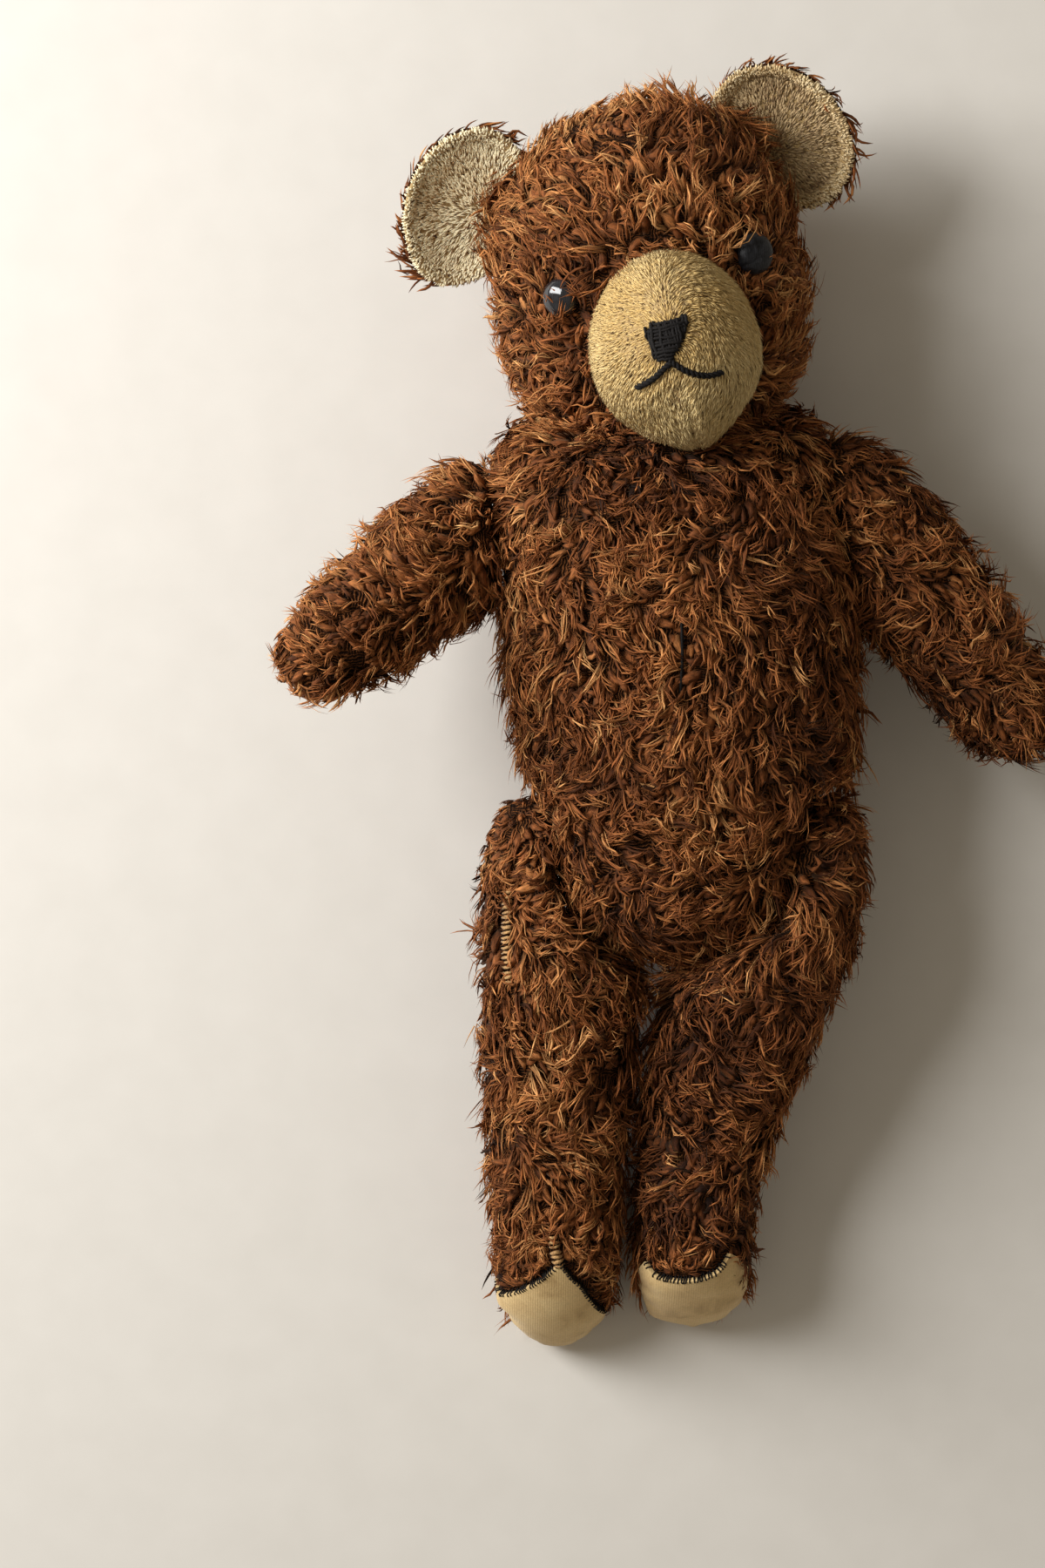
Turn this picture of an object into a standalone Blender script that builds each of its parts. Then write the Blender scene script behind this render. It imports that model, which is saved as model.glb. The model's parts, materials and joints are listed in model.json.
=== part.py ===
"""A worn, disc-jointed teddy bear lying on its back, feet towards -Y, face up.

The bear's own left side is +X. Its back, the back of its head and its heels rest
on Z = 0. Head, arms and legs are separate stuffed forms. Each is held to the body
by a pair of hardboard discs, a pair of washers and one cotter pin, and turns on it.
"""

import math

import bmesh
import bpy
from mathutils import Euler, Matrix, Vector
from mathutils.bvhtree import BVHTree

# ---------------------------------------------------------------- driving sizes, metres
WALL = 0.0020  # mohair cloth with its backing and seam allowance
FELT = 0.0017  # foot pad
FILL_GAP = 0.0009  # cloth to stuffing
CLEAR = 0.0003  # between pieces that touch
JOINT_GAP = 0.0005  # between two covers at a disc joint
STUFFING_INSET = WALL + FILL_GAP

DISC_THICK = 0.0025
WASHER_THICK = 0.0008
PIN_HOLE_RADIUS = 0.0019
PIN_WIRE_RADIUS = 0.0006
PIN_LEG_OFFSET = 0.00078  # each leg's centre line from the pin's own
PIN_EYE_RADIUS = 0.0021
PIN_CURL_REACH = 0.0046  # of the curled ends, to each side
POCKET_CLEAR = 0.0004  # stuffing to hardware, sideways

DISC_TOP = JOINT_GAP / 2 + WALL + CLEAR  # from the joint's plane to the disc
WASHER_TOP = DISC_TOP + DISC_THICK + CLEAR
PIN_SEAT = WASHER_TOP + WASHER_THICK + CLEAR

CENTRING = Vector((-0.0005, 0.0050, 0.0))  # brings the origin under the bear's middle

# ---------------------------------------------------------------- scene
for old in list(bpy.data.objects):
    bpy.data.objects.remove(old, do_unlink=True)
PARTS = bpy.data.collections.new("teddy_bear")
CUTTERS = bpy.data.collections.new("cutters")
for group in (PARTS, CUTTERS):
    bpy.context.scene.collection.children.link(group)


def finish(name, colour, roughness, metallic=0.0):
    """A plain Principled material."""
    made = bpy.data.materials.new(name)
    made.use_nodes = True
    shader = made.node_tree.nodes["Principled BSDF"]
    shader.inputs["Base Color"].default_value = (*colour, 1.0)
    shader.inputs["Roughness"].default_value = roughness
    shader.inputs["Metallic"].default_value = metallic
    return made


MOHAIR = finish("brown_mohair", (0.150, 0.062, 0.024), 0.9)
PLUSH = finish("cream_plush", (0.560, 0.400, 0.200), 0.9)
FELT_CLOTH = finish("cream_felt", (0.500, 0.380, 0.210), 0.9)
WOOD_WOOL = finish("wood_wool", (0.550, 0.400, 0.220), 0.95)
BLACK_THREAD = finish("black_thread", (0.010, 0.008, 0.008), 0.6)
BLACK_GLASS = finish("black_eye", (0.008, 0.008, 0.009), 0.15)
HARDBOARD = finish("hardboard", (0.220, 0.130, 0.070), 0.8)
STEEL = finish("steel", (0.420, 0.400, 0.380), 0.35, 1.0)


# ---------------------------------------------------------------- frames
def frame_from(origin, x_axis, y_axis, z_axis):
    """A placement matrix from an origin and three unit axes."""
    turn = Matrix((x_axis, y_axis, z_axis)).transposed().to_4x4()
    return Matrix.Translation(origin) @ turn


def joint_frame(origin, outward):
    """A joint's frame: Z runs out of the body into the limb, X lies level."""
    z_axis = outward.normalized()
    x_axis = z_axis.cross(Vector((0, 0, 1))).normalized()
    return frame_from(origin, x_axis, z_axis.cross(x_axis), z_axis)


BEAR = Matrix.Translation(CENTRING)
WORLD_OF = {}


def empty(name, world, parent=None):
    """An empty that carries pieces; its place in the world is kept in WORLD_OF."""
    carrier = bpy.data.objects.new(name, None)
    carrier.empty_display_size = 0.01
    PARTS.objects.link(carrier)
    carrier.parent = parent
    carrier.matrix_basis = WORLD_OF[parent.name].inverted() @ world if parent else world
    WORLD_OF[name] = world
    return carrier


def put(piece, parent, world=None):
    """Parents a piece to an empty and puts its own frame at a world placement."""
    base = WORLD_OF[parent.name]
    piece.parent = parent
    piece.matrix_basis = base.inverted() @ (base if world is None else world)


# ---------------------------------------------------------------- making pieces
def add(name, mesh, material, parent, world=None):
    """A named part from a mesh."""
    piece = bpy.data.objects.new(name, mesh)
    mesh.name = name
    mesh.materials.clear()
    mesh.materials.append(material)
    mesh.shade_smooth()
    mesh.set_sharp_from_angle(angle=math.radians(35))
    PARTS.objects.link(piece)
    put(piece, parent, world)
    return piece


def helper(name, mesh, parent, world=None):
    """A shape that only cuts, or is joined into, another one."""
    shape = bpy.data.objects.new(name, mesh)
    shape.hide_render = True
    shape.display_type = "WIRE"
    CUTTERS.objects.link(shape)
    put(shape, parent, world)
    return shape


def face_outwards(bm):
    """Turns the faces of a closed form outwards."""
    bm.normal_update()
    bmesh.ops.recalc_face_normals(bm, faces=bm.faces)


def mesh_of(bm):
    """A mesh from a bmesh, which is freed."""
    mesh = bpy.data.meshes.new("mesh")
    bm.to_mesh(mesh)
    bm.free()
    return mesh


def evaluated(shape):
    """The mesh of an object with its modifiers or curve worked out; the object goes."""
    bpy.context.view_layer.update()
    graph = bpy.context.evaluated_depsgraph_get()
    mesh = bpy.data.meshes.new_from_object(shape.evaluated_get(graph))
    bpy.data.objects.remove(shape, do_unlink=True)
    return mesh


def boolean(piece, other, operation="DIFFERENCE"):
    """Cuts, joins or meets a piece with another shape."""
    step = piece.modifiers.new(f"{operation.lower()}_{other.name}", "BOOLEAN")
    step.operation = operation
    step.solver = "EXACT"
    step.object = other


def shell(piece, thickness):
    """Gives a skin its thickness, inwards."""
    wall = piece.modifiers.new("wall", "SOLIDIFY")
    wall.thickness = thickness
    wall.offset = -1.0
    wall.use_even_offset = True


def turned_mesh(profile, steps, closed):
    """A profile of (radius, height) points spun about Z, worked out as a mesh."""
    points = [(radius, 0.0, height) for radius, height in profile]
    edges = [(i, i + 1) for i in range(len(points) - 1)]
    if closed:
        edges.append((len(points) - 1, 0))
    mesh = bpy.data.meshes.new("profile")
    mesh.from_pydata(points, edges, [])
    shape = bpy.data.objects.new("profile", mesh)
    CUTTERS.objects.link(shape)
    spin = shape.modifiers.new("spin", "SCREW")
    spin.steps = spin.render_steps = steps
    spin.use_merge_vertices = True
    spin.merge_threshold = 0.00002
    return evaluated(shape)


def ring_mesh(inner, outer, low, high, steps):
    """A flat ring with a bore."""
    profile = [(inner, high), (outer, high), (outer, low), (inner, low)]
    return turned_mesh(profile, steps, closed=True)


def rod_mesh(radius, low, high, steps=8):
    """A plain round bar along Z."""
    profile = [(0.0, high), (radius, high), (radius, low), (0.0, low)]
    return turned_mesh(profile, steps, closed=False)


# ---------------------------------------------------------------- stuffed forms
CAGE_SIDES = 8
CAGE_GROWTH = 1.079  # subdivision draws an eight-sided cage in by this much


def stuffed_form(stations):
    """A smooth closed form from a coarse cage.

    A station is (y, x, z, half width, half depth), from the top of the form down;
    the first and the last are its ends. The cage is a sphere whose rings are moved
    to the stations, and it is then subdivided once.
    """
    rings = len(stations) - 1
    bm = bmesh.new()
    bmesh.ops.create_uvsphere(bm, u_segments=CAGE_SIDES, v_segments=rings, radius=1.0)
    for vert in bm.verts:
        height = max(-1.0, min(1.0, vert.co.z))
        y, x, z, width, depth = stations[round(math.acos(height) / math.pi * rings)]
        turn = math.atan2(vert.co.y, vert.co.x)
        across = CAGE_GROWTH * width * math.cos(turn)
        up = CAGE_GROWTH * depth * math.sin(turn)
        vert.co = (x + across, y, z + up)
    face_outwards(bm)
    cage = bpy.data.objects.new("cage", mesh_of(bm))
    CUTTERS.objects.link(cage)
    smooth = cage.modifiers.new("smooth", "SUBSURF")
    smooth.levels = smooth.render_levels = 1
    return evaluated(cage)


def ellipsoid(centre, radii, segments=20, rings=10):
    """A closed ellipsoid, its poles along its own Z."""
    bm = bmesh.new()
    bmesh.ops.create_uvsphere(bm, u_segments=segments, v_segments=rings, radius=1.0)
    for vert in bm.verts:
        vert.co = Vector(centre) + Vector(c * r for c, r in zip(vert.co, radii))
    return mesh_of(bm)


def cut_form(form, world, trims, inset=0.0, floor=0.0):
    """A copy of a form drawn in by inset, cut by world planes and laid on the floor.

    A trim is (point, normal): what lies on the normal's side goes, and the cut is
    closed. What would lie under the floor is pressed flat on it.
    """
    bm = bmesh.new()
    bm.from_mesh(form)
    bm.normal_update()
    for vert, normal in [(v, v.normal.copy()) for v in bm.verts]:
        vert.co -= normal * inset
    bm.transform(world)
    for point, normal in trims:
        everything = bm.verts[:] + bm.edges[:] + bm.faces[:]
        cut = bmesh.ops.bisect_plane(
            bm,
            geom=everything,
            dist=1e-6,
            plane_co=point - normal * inset,
            plane_no=normal,
            clear_outer=True,
        )
        rim = [e for e in cut["geom_cut"] if isinstance(e, bmesh.types.BMEdge)]
        bmesh.ops.holes_fill(bm, edges=rim, sides=0)
    for vert in bm.verts:
        vert.co.z = max(vert.co.z, floor + inset)
    bm.transform(world.inverted())
    face_outwards(bm)
    return mesh_of(bm)


# ---------------------------------------------------------------- the five disc joints
NECK_PITCH = math.radians(20)  # the neck leans towards the face
NECK_ROLL = math.radians(2)
HIP_SPLAY = math.radians(12)

NECK_AXIS = Vector(
    (
        -math.sin(NECK_ROLL) * math.cos(NECK_PITCH),
        math.cos(NECK_ROLL) * math.cos(NECK_PITCH),
        math.sin(NECK_PITCH),
    )
)
JOINTS = {
    # name: (point, outward axis, disc radius)
    "neck": (Vector((-0.003, 0.0933, 0.042)), NECK_AXIS, 0.0220),
    "right_shoulder": (
        Vector((-0.0555, 0.0560, 0.048)),
        Vector((-0.990, -0.139, 0.0)),
        0.0125,
    ),
    "left_shoulder": (
        Vector((0.0520, 0.0590, 0.048)),
        Vector((0.983, 0.184, 0.0)),
        0.0125,
    ),
    "right_hip": (
        Vector((-0.0369, -0.0490, 0.0428)),
        Vector((-math.cos(HIP_SPLAY), -math.sin(HIP_SPLAY), 0.0)),
        0.0130,
    ),
    "left_hip": (
        Vector((0.0397, -0.0490, 0.0428)),
        Vector((math.cos(HIP_SPLAY), -math.sin(HIP_SPLAY), 0.0)),
        0.0130,
    ),
}
DISC_STEPS = 16
WASHER_RADIUS = 0.0055
WASHER_STEPS = 8

torso = empty("torso", BEAR)


def joint_plane(name, side):
    """The cutting plane of a joint: side -1 trims the body, +1 trims the limb."""
    point, axis, _ = JOINTS[name]
    outward = axis.normalized()
    shifted = BEAR @ (point + side * JOINT_GAP / 2 * outward)
    return shifted, -side * outward


def pin_path():
    """A cotter pin's centre line: curl, leg, eye, leg, curl."""
    eye_centre = PIN_SEAT + PIN_WIRE_RADIUS + PIN_EYE_RADIUS
    curl_depth = PIN_SEAT + PIN_WIRE_RADIUS
    half = [
        (PIN_CURL_REACH, -curl_depth - 0.0006),
        (0.0032, -curl_depth - 0.0001),
        (0.0018, -curl_depth - 0.0002),
        (PIN_LEG_OFFSET, -curl_depth + 0.0010),
        (PIN_LEG_OFFSET, eye_centre - PIN_EYE_RADIUS),
    ]
    eye = [
        (
            PIN_EYE_RADIUS * math.cos(math.radians(angle)),
            eye_centre + PIN_EYE_RADIUS * math.sin(math.radians(angle)),
        )
        for angle in range(-30, 211, 40)
    ]
    other = [(-x, z) for x, z in reversed(half)]
    return [Vector((x, 0.0, z)) for x, z in half + eye + other]


def wire_mesh(points, radius):
    """A six-sided wire along straight runs between points, its ends closed."""
    curve = bpy.data.curves.new("wire", "CURVE")
    curve.dimensions = "3D"
    curve.bevel_depth = radius
    curve.bevel_resolution = 1
    curve.use_fill_caps = True
    spline = curve.splines.new("POLY")
    spline.points.add(len(points) - 1)
    for slot, place in zip(spline.points, points):
        slot.co = (*place, 1.0)
    shape = bpy.data.objects.new("wire", curve)
    CUTTERS.objects.link(shape)
    bm = bmesh.new()
    bm.from_mesh(evaluated(shape))
    bmesh.ops.remove_doubles(bm, verts=bm.verts, dist=0.00001)
    face_outwards(bm)
    return mesh_of(bm)


def disc_joint(name, limb_word):
    """The empty of a joint, its hardware, and the pockets that the stuffing needs."""
    point, axis, disc_radius = JOINTS[name]
    world = joint_frame(BEAR @ point, axis)
    carrier = empty(f"{name}_joint", world, torso)
    for side, word, owner in ((-1, f"{name}_body", torso), (1, limb_word, carrier)):
        disc_span = sorted((side * DISC_TOP, side * (DISC_TOP + DISC_THICK)))
        washer_span = sorted((side * WASHER_TOP, side * (WASHER_TOP + WASHER_THICK)))
        disc = ring_mesh(PIN_HOLE_RADIUS, disc_radius, *disc_span, DISC_STEPS)
        add(f"{word}_disc", disc, HARDBOARD, owner, world)
        washer = ring_mesh(PIN_HOLE_RADIUS, WASHER_RADIUS, *washer_span, WASHER_STEPS)
        add(f"{word}_washer", washer, STEEL, owner, world)
    pin = wire_mesh(pin_path(), PIN_WIRE_RADIUS)
    add(f"{limb_word}_cotter_pin", pin, STEEL, carrier, world)
    through = rod_mesh(PIN_HOLE_RADIUS, -3 * WALL, 3 * WALL)
    hole = helper(f"{name}_hole", through, torso, world)
    return carrier, hole


def pocket(name, owner, side):
    """The hollow that a joint's disc, washer and pin press into the stuffing."""
    point, axis, disc_radius = JOINTS[name]
    world = joint_frame(BEAR @ point, axis)
    if side < 0:
        reach = PIN_CURL_REACH
        length = 3 * PIN_WIRE_RADIUS + POCKET_CLEAR
    else:
        reach = PIN_EYE_RADIUS + PIN_WIRE_RADIUS
        length = 2 * reach + CLEAR
    disc_room = disc_radius + POCKET_CLEAR
    washer_room = WASHER_RADIUS + POCKET_CLEAR
    pin_room = reach + POCKET_CLEAR
    under_disc = DISC_TOP + DISC_THICK + CLEAR
    steps = [
        (0.0, 0.0),
        (disc_room, 0.0),
        (disc_room, under_disc),
        (washer_room, under_disc),
        (washer_room, PIN_SEAT),
        (pin_room, PIN_SEAT),
        (pin_room, PIN_SEAT + length),
        (0.0, PIN_SEAT + length),
    ]
    profile = [(radius, side * height) for radius, height in steps]
    if side > 0:
        profile.reverse()
    hollow = turned_mesh(profile, DISC_STEPS, closed=False)
    return helper(f"{name}_pocket_{'body' if side < 0 else 'limb'}", hollow, owner, world)


# ---------------------------------------------------------------- body
TORSO_STATIONS = [
    (0.1190, -0.0015, 0.0340, 0.0, 0.0),
    (0.1090, -0.0015, 0.0350, 0.0300, 0.0280),
    (0.0920, -0.0020, 0.0390, 0.0510, 0.0420),
    (0.0700, -0.0030, 0.0440, 0.0595, 0.0490),
    (0.0400, -0.0010, 0.0462, 0.0605, 0.0515),
    (0.0080, 0.0033, 0.0445, 0.0575, 0.0485),
    (-0.0220, 0.0048, 0.0425, 0.0535, 0.0435),
    (-0.0480, 0.0020, 0.0415, 0.0475, 0.0370),
    (-0.0700, 0.0010, 0.0420, 0.0365, 0.0280),
    (-0.0840, 0.0000, 0.0425, 0.0, 0.0),
]
HIPS = ("right_hip", "left_hip")
HIP_ROOM = 0.0280  # above its axis, what a hip cuts from the body's side
HIP_REACH = 0.0900  # below and beside it, and outwards: past the body's surface


def hip_side(name, inset):
    """The block that a hip cuts from the body's side, grown by inset.

    The body is flat where the leg turns against it, and swells out above the leg.
    """
    point, axis, _ = JOINTS[name]
    outward = axis.normalized()
    upward = (Vector((0, 1, 0)) - outward * outward.y).normalized()
    reach = Vector((0, 0, HIP_REACH))
    flat = point - outward * (JOINT_GAP / 2 + inset)
    top = upward * (HIP_ROOM + inset)
    foot = -upward * HIP_REACH
    out = outward * HIP_REACH
    ends = [flat + step + far for far in (Vector(), out) for step in (foot, top)]
    bm = bmesh.new()
    near = [bm.verts.new(end - reach) for end in ends]
    far = [bm.verts.new(end + reach) for end in ends]
    for a, b in ((0, 1), (1, 3), (3, 2), (2, 0)):
        bm.faces.new((near[a], near[b], far[b], far[a]))
    bm.faces.new([near[i] for i in (0, 2, 3, 1)])
    bm.faces.new([far[i] for i in (0, 1, 3, 2)])
    bmesh.ops.recalc_face_normals(bm, faces=bm.faces)
    return helper(f"{name}_side", mesh_of(bm), torso, BEAR)


torso_form = stuffed_form(TORSO_STATIONS)
body_trims = [joint_plane(name, -1) for name in JOINTS if name not in HIPS]
torso_cover = add("torso_cover", cut_form(torso_form, BEAR, body_trims), MOHAIR, torso)
torso_inside = helper("torso_inside", cut_form(torso_form, BEAR, body_trims, WALL), torso)
torso_stuffing = add(
    "torso_stuffing",
    cut_form(torso_form, BEAR, body_trims, STUFFING_INSET),
    WOOD_WOOL,
    torso,
)
for hip in HIPS:
    boolean(torso_cover, hip_side(hip, 0.0))
    boolean(torso_inside, hip_side(hip, WALL))
    boolean(torso_stuffing, hip_side(hip, STUFFING_INSET))
boolean(torso_cover, torso_inside)
LIMB_WORDS = {
    "neck": "head",
    "right_shoulder": "right_arm",
    "left_shoulder": "left_arm",
    "right_hip": "right_leg",
    "left_hip": "left_leg",
}
carriers = {}
holes = {}
for joint_name, limb in LIMB_WORDS.items():
    carriers[joint_name], holes[joint_name] = disc_joint(joint_name, limb)
    boolean(torso_cover, holes[joint_name])
    boolean(torso_stuffing, pocket(joint_name, torso, -1))


# ---------------------------------------------------------------- head
HEAD_CENTRE = Vector((-0.0083, 0.1400, 0.0480))
HEAD_ROLL = math.radians(12.8)  # the crown leans to the bear's right
HEAD_YAW = math.radians(2)  # and the face turns a little that way
HEAD_STATIONS = [
    (0.0540, 0.0, -0.002, 0.0, 0.0),
    (0.0460, 0.0, -0.002, 0.0270, 0.0250),
    (0.0300, 0.0, -0.001, 0.0420, 0.0400),
    (0.0080, 0.0, 0.0, 0.0490, 0.0465),
    (-0.0150, 0.0, 0.0, 0.0505, 0.0475),
    (-0.0350, 0.0, 0.0, 0.0470, 0.0450),
    (-0.0520, 0.0, 0.0, 0.0380, 0.0360),
    (-0.0620, 0.0, 0.0, 0.0, 0.0),
]
MUZZLE_CENTRE = Vector((0.0024, -0.0160, 0.0500))
MUZZLE_RADII = Vector((0.0253, 0.0290, 0.0345))
EYE_RADIUS = 0.0060
EYE_HEIGHT = 0.0042
EYE_PLACES = {
    "right_eye": Vector((-0.0280, 0.0035, 0)),
    "left_eye": Vector((0.0328, 0.0035, 0)),
}
SHANK_LENGTH = 0.0060
NOSE_THICK = 0.0015
NOSE_OUTLINE = [
    (-0.0055, 0.0008),
    (0.0062, 0.0000),
    (0.0040, -0.0052),
    (0.0012, -0.0090),
    (-0.0018, -0.0108),
    (-0.0058, -0.0103),
    (-0.0052, -0.0048),
]
MOUTH_RADIUS = 0.0009
MOUTH_LINE = [
    (-0.0112, -0.0178),
    (-0.0065, -0.0155),
    (-0.0020, -0.0125),
    (0.0010, -0.0138),
    (0.0048, -0.0170),
    (0.0090, -0.0190),
    (0.0132, -0.0195),
]

head_turn = (
    Euler((0, 0, HEAD_ROLL)).to_matrix()
    @ Euler((NECK_PITCH, 0, 0)).to_matrix()
    @ Euler((0, -HEAD_YAW, 0)).to_matrix()
)
HEAD = BEAR @ Matrix.Translation(HEAD_CENTRE) @ head_turn.to_4x4()
head = empty("head", HEAD, carriers["neck"])

head_form = stuffed_form(HEAD_STATIONS)
head_trims = [joint_plane("neck", 1)]
head_skin = cut_form(head_form, HEAD, head_trims)
head_cover = add("head_cover", head_skin, MOHAIR, head)
head_inside = helper("head_inside", cut_form(head_form, HEAD, head_trims, WALL), head)
boolean(head_cover, head_inside)
grown = [r + CLEAR for r in MUZZLE_RADII]
boolean(head_cover, helper("muzzle_opening", ellipsoid(MUZZLE_CENTRE, grown), head))
boolean(head_cover, holes["neck"])

muzzle_cover = add("muzzle_cover", ellipsoid(MUZZLE_CENTRE, MUZZLE_RADII), PLUSH, head)
shell(muzzle_cover, WALL)
boolean(muzzle_cover, head_inside)

head_fill = cut_form(head_form, HEAD, head_trims, STUFFING_INSET)
head_stuffing = add("head_stuffing", head_fill, WOOD_WOOL, head)
core = [r - STUFFING_INSET for r in MUZZLE_RADII]
boolean(head_stuffing, helper("muzzle_core", ellipsoid(MUZZLE_CENTRE, core), head), "UNION")
boolean(head_stuffing, pocket("neck", head, 1))


# Nose: satin stitches worked as one raised shield.
def prism(outline, low, high):
    """A straight block between two heights, from a flat outline."""
    bm = bmesh.new()
    face = bm.faces.new([bm.verts.new((x, y, low)) for x, y in outline])
    raised = bmesh.ops.extrude_face_region(bm, geom=[face])
    top = [v for v in raised["geom"] if isinstance(v, bmesh.types.BMVert)]
    bmesh.ops.translate(bm, verts=top, vec=(0, 0, high - low))
    face_outwards(bm)
    return mesh_of(bm)


nose = add("nose_stitching", prism(NOSE_OUTLINE, 0.060, 0.100), BLACK_THREAD, head)
proud = [r + CLEAR + NOSE_THICK for r in MUZZLE_RADII]
boolean(nose, helper("nose_top", ellipsoid(MUZZLE_CENTRE, proud), head), "INTERSECT")
boolean(nose, helper("nose_seat", ellipsoid(MUZZLE_CENTRE, grown), head))


def on_muzzle(x, y, lift):
    """A point above the muzzle's cloth, over a place seen from the front."""
    rx, ry, rz = (r + lift for r in MUZZLE_RADII)
    rest = 1 - ((x - MUZZLE_CENTRE.x) / rx) ** 2 - ((y - MUZZLE_CENTRE.y) / ry) ** 2
    return Vector((x, y, MUZZLE_CENTRE.z + rz * math.sqrt(rest)))


mouth_lift = CLEAR + MOUTH_RADIUS
mouth_points = [on_muzzle(x, y, mouth_lift) for x, y in MOUTH_LINE]
add("mouth_stitching", wire_mesh(mouth_points, MOUTH_RADIUS), BLACK_THREAD, head)


# Eyes: domed buttons on wire shanks that go through the cloth.
def eye_frame(place):
    """The seat of an eye on the head's skin, Z looking out."""
    corners = [v.co.copy() for v in head_skin.vertices]
    tree = BVHTree.FromPolygons(corners, [tuple(p.vertices) for p in head_skin.polygons])
    spot, normal, _, _ = tree.ray_cast(Vector((place.x, place.y, 0.1)), Vector((0, 0, -1)))
    z_axis = normal.normalized()
    x_axis = Vector((0, 1, 0)).cross(z_axis).normalized()
    return frame_from(spot, x_axis, z_axis.cross(x_axis), z_axis)


def eye_mesh(seat):
    """A shallow dome with a flat back."""
    arc = [
        (EYE_RADIUS * math.sin(a), seat + EYE_HEIGHT * math.cos(a))
        for a in (math.radians(20 * i) for i in range(0, 5))
    ]
    profile = arc + [(EYE_RADIUS, seat + EYE_EDGE), (EYE_RADIUS - 0.0006, seat), (0.0, seat)]
    return turned_mesh(profile, 14, closed=False)


EYE_SEAT = CLEAR + 0.0002  # the button's back over the cloth
EYE_EDGE = 0.0008  # thickness of the button's rim
BORE_DEPTH = 0.0024
SHANK_WIRE = 0.0006
SHANK_LOOP = 0.0016
SHANK_ROOM = 0.0030  # radius of the hollow in the stuffing round a shank
for eye_name, place in EYE_PLACES.items():
    at = HEAD @ eye_frame(place)
    eye = add(eye_name, eye_mesh(EYE_SEAT), BLACK_GLASS, head, at)
    bore = rod_mesh(SHANK_WIRE + CLEAR, EYE_SEAT - 0.001, EYE_SEAT + BORE_DEPTH, 10)
    boolean(eye, helper(f"{eye_name}_bore", bore, head, at))
    foot = EYE_SEAT - SHANK_LENGTH
    wire = [Vector((0, 0, EYE_SEAT + BORE_DEPTH - 0.0004)), Vector((0, 0, foot + SHANK_LOOP))]
    for turn in range(35, 306, 45):
        a = math.radians(turn)
        down = foot + SHANK_LOOP * (math.cos(a) - 0.2)
        wire.append(Vector((SHANK_LOOP * math.sin(a), 0, down)))
    add(f"{eye_name}_shank", wire_mesh(wire, SHANK_WIRE), STEEL, head, at)
    hole = helper(f"{eye_name}_hole", rod_mesh(0.0011, -0.0035, 0.0015, 10), head, at)
    boolean(head_cover, hole)
    room = helper(f"{eye_name}_room", rod_mesh(SHANK_ROOM, -0.0100, 0.0020, 12), head, at)
    boolean(head_stuffing, room)

# Ears: two bowls of cloth, mohair behind and short cream plush in front.
EAR_CENTRE = Vector((0.0514, 0.0296, -0.0080))
EAR_RADII = Vector((0.0255, 0.0205, 0.0105))  # along the head's edge, outwards, deep
EAR_BACK = 0.0016
EAR_LINING = 0.0012
EAR_LEAN = math.radians(29)  # of the ear's middle line, over level
EAR_CUP = math.radians(14)  # the outer rim comes forward
ear_seat = helper("ear_seat", cut_form(head_form, HEAD, head_trims, -CLEAR, -0.01), head)


def bowl(inset):
    """The rear half of an ear's ellipsoid, drawn in by inset and open in front."""
    bm = bmesh.new()
    bmesh.ops.create_uvsphere(bm, u_segments=16, v_segments=8, radius=1.0)
    for vert in bm.verts:
        vert.co = Vector(c * r for c, r in zip(vert.co, EAR_RADII))
    bm.normal_update()
    for vert, normal in [(v, v.normal.copy()) for v in bm.verts]:
        vert.co -= normal * inset
    everything = bm.verts[:] + bm.edges[:] + bm.faces[:]
    front = (0, 0, 1)
    bmesh.ops.bisect_plane(
        bm, geom=everything, dist=1e-5, plane_co=(0, 0, 0), plane_no=front, clear_outer=True
    )
    face_outwards(bm)
    return mesh_of(bm)


for side, word in ((-1, "right"), (1, "left")):
    outward = Vector((side * math.cos(EAR_LEAN), math.sin(EAR_LEAN), 0.0))
    front = Vector((0, 0, 1)) * math.cos(EAR_CUP) - outward * math.sin(EAR_CUP)
    x_axis = outward.cross(front).normalized()
    y_axis = front.cross(x_axis)
    centre = Vector((side * EAR_CENTRE.x, EAR_CENTRE.y, EAR_CENTRE.z))
    at = HEAD @ frame_from(centre, x_axis, y_axis, front)
    back = add(f"{word}_ear_back", bowl(0.0), MOHAIR, head, at)
    shell(back, EAR_BACK)
    boolean(back, ear_seat)
    lining = add(f"{word}_ear_lining", bowl(EAR_BACK + CLEAR), PLUSH, head, at)
    shell(lining, EAR_LINING)
    boolean(lining, ear_seat)

# ---------------------------------------------------------------- arms
ARM_STATIONS = [
    (0.0300, 0.0, 0.0, 0.0, 0.0),
    (0.0220, 0.0, 0.0, 0.0165, 0.0155),
    (0.0050, 0.0, 0.0, 0.0225, 0.0200),
    (-0.0200, 0.0, 0.0, 0.0210, 0.0195),
    (-0.0480, 0.0, 0.0, 0.0182, 0.0180),
    (-0.0740, 0.0, 0.0, 0.0165, 0.0165),
    (-0.0900, 0.0, 0.0, 0.0130, 0.0135),
    (-0.0985, 0.0, 0.0, 0.0, 0.0),
]
ARMS = {
    # name: (joint, shoulder's middle, heading seen from above, rise, length)
    "right_arm": (
        "right_shoulder",
        Vector((-0.0598, 0.0566, 0.048)),
        Vector((-0.760, -0.649, 0.0)),
        math.radians(32),
        0.95,
    ),
    "left_arm": (
        "left_shoulder",
        Vector((0.0578, 0.0602, 0.048)),
        Vector((0.650, -0.760, 0.0)),
        math.radians(-6),
        1.00,
    ),
}
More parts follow.
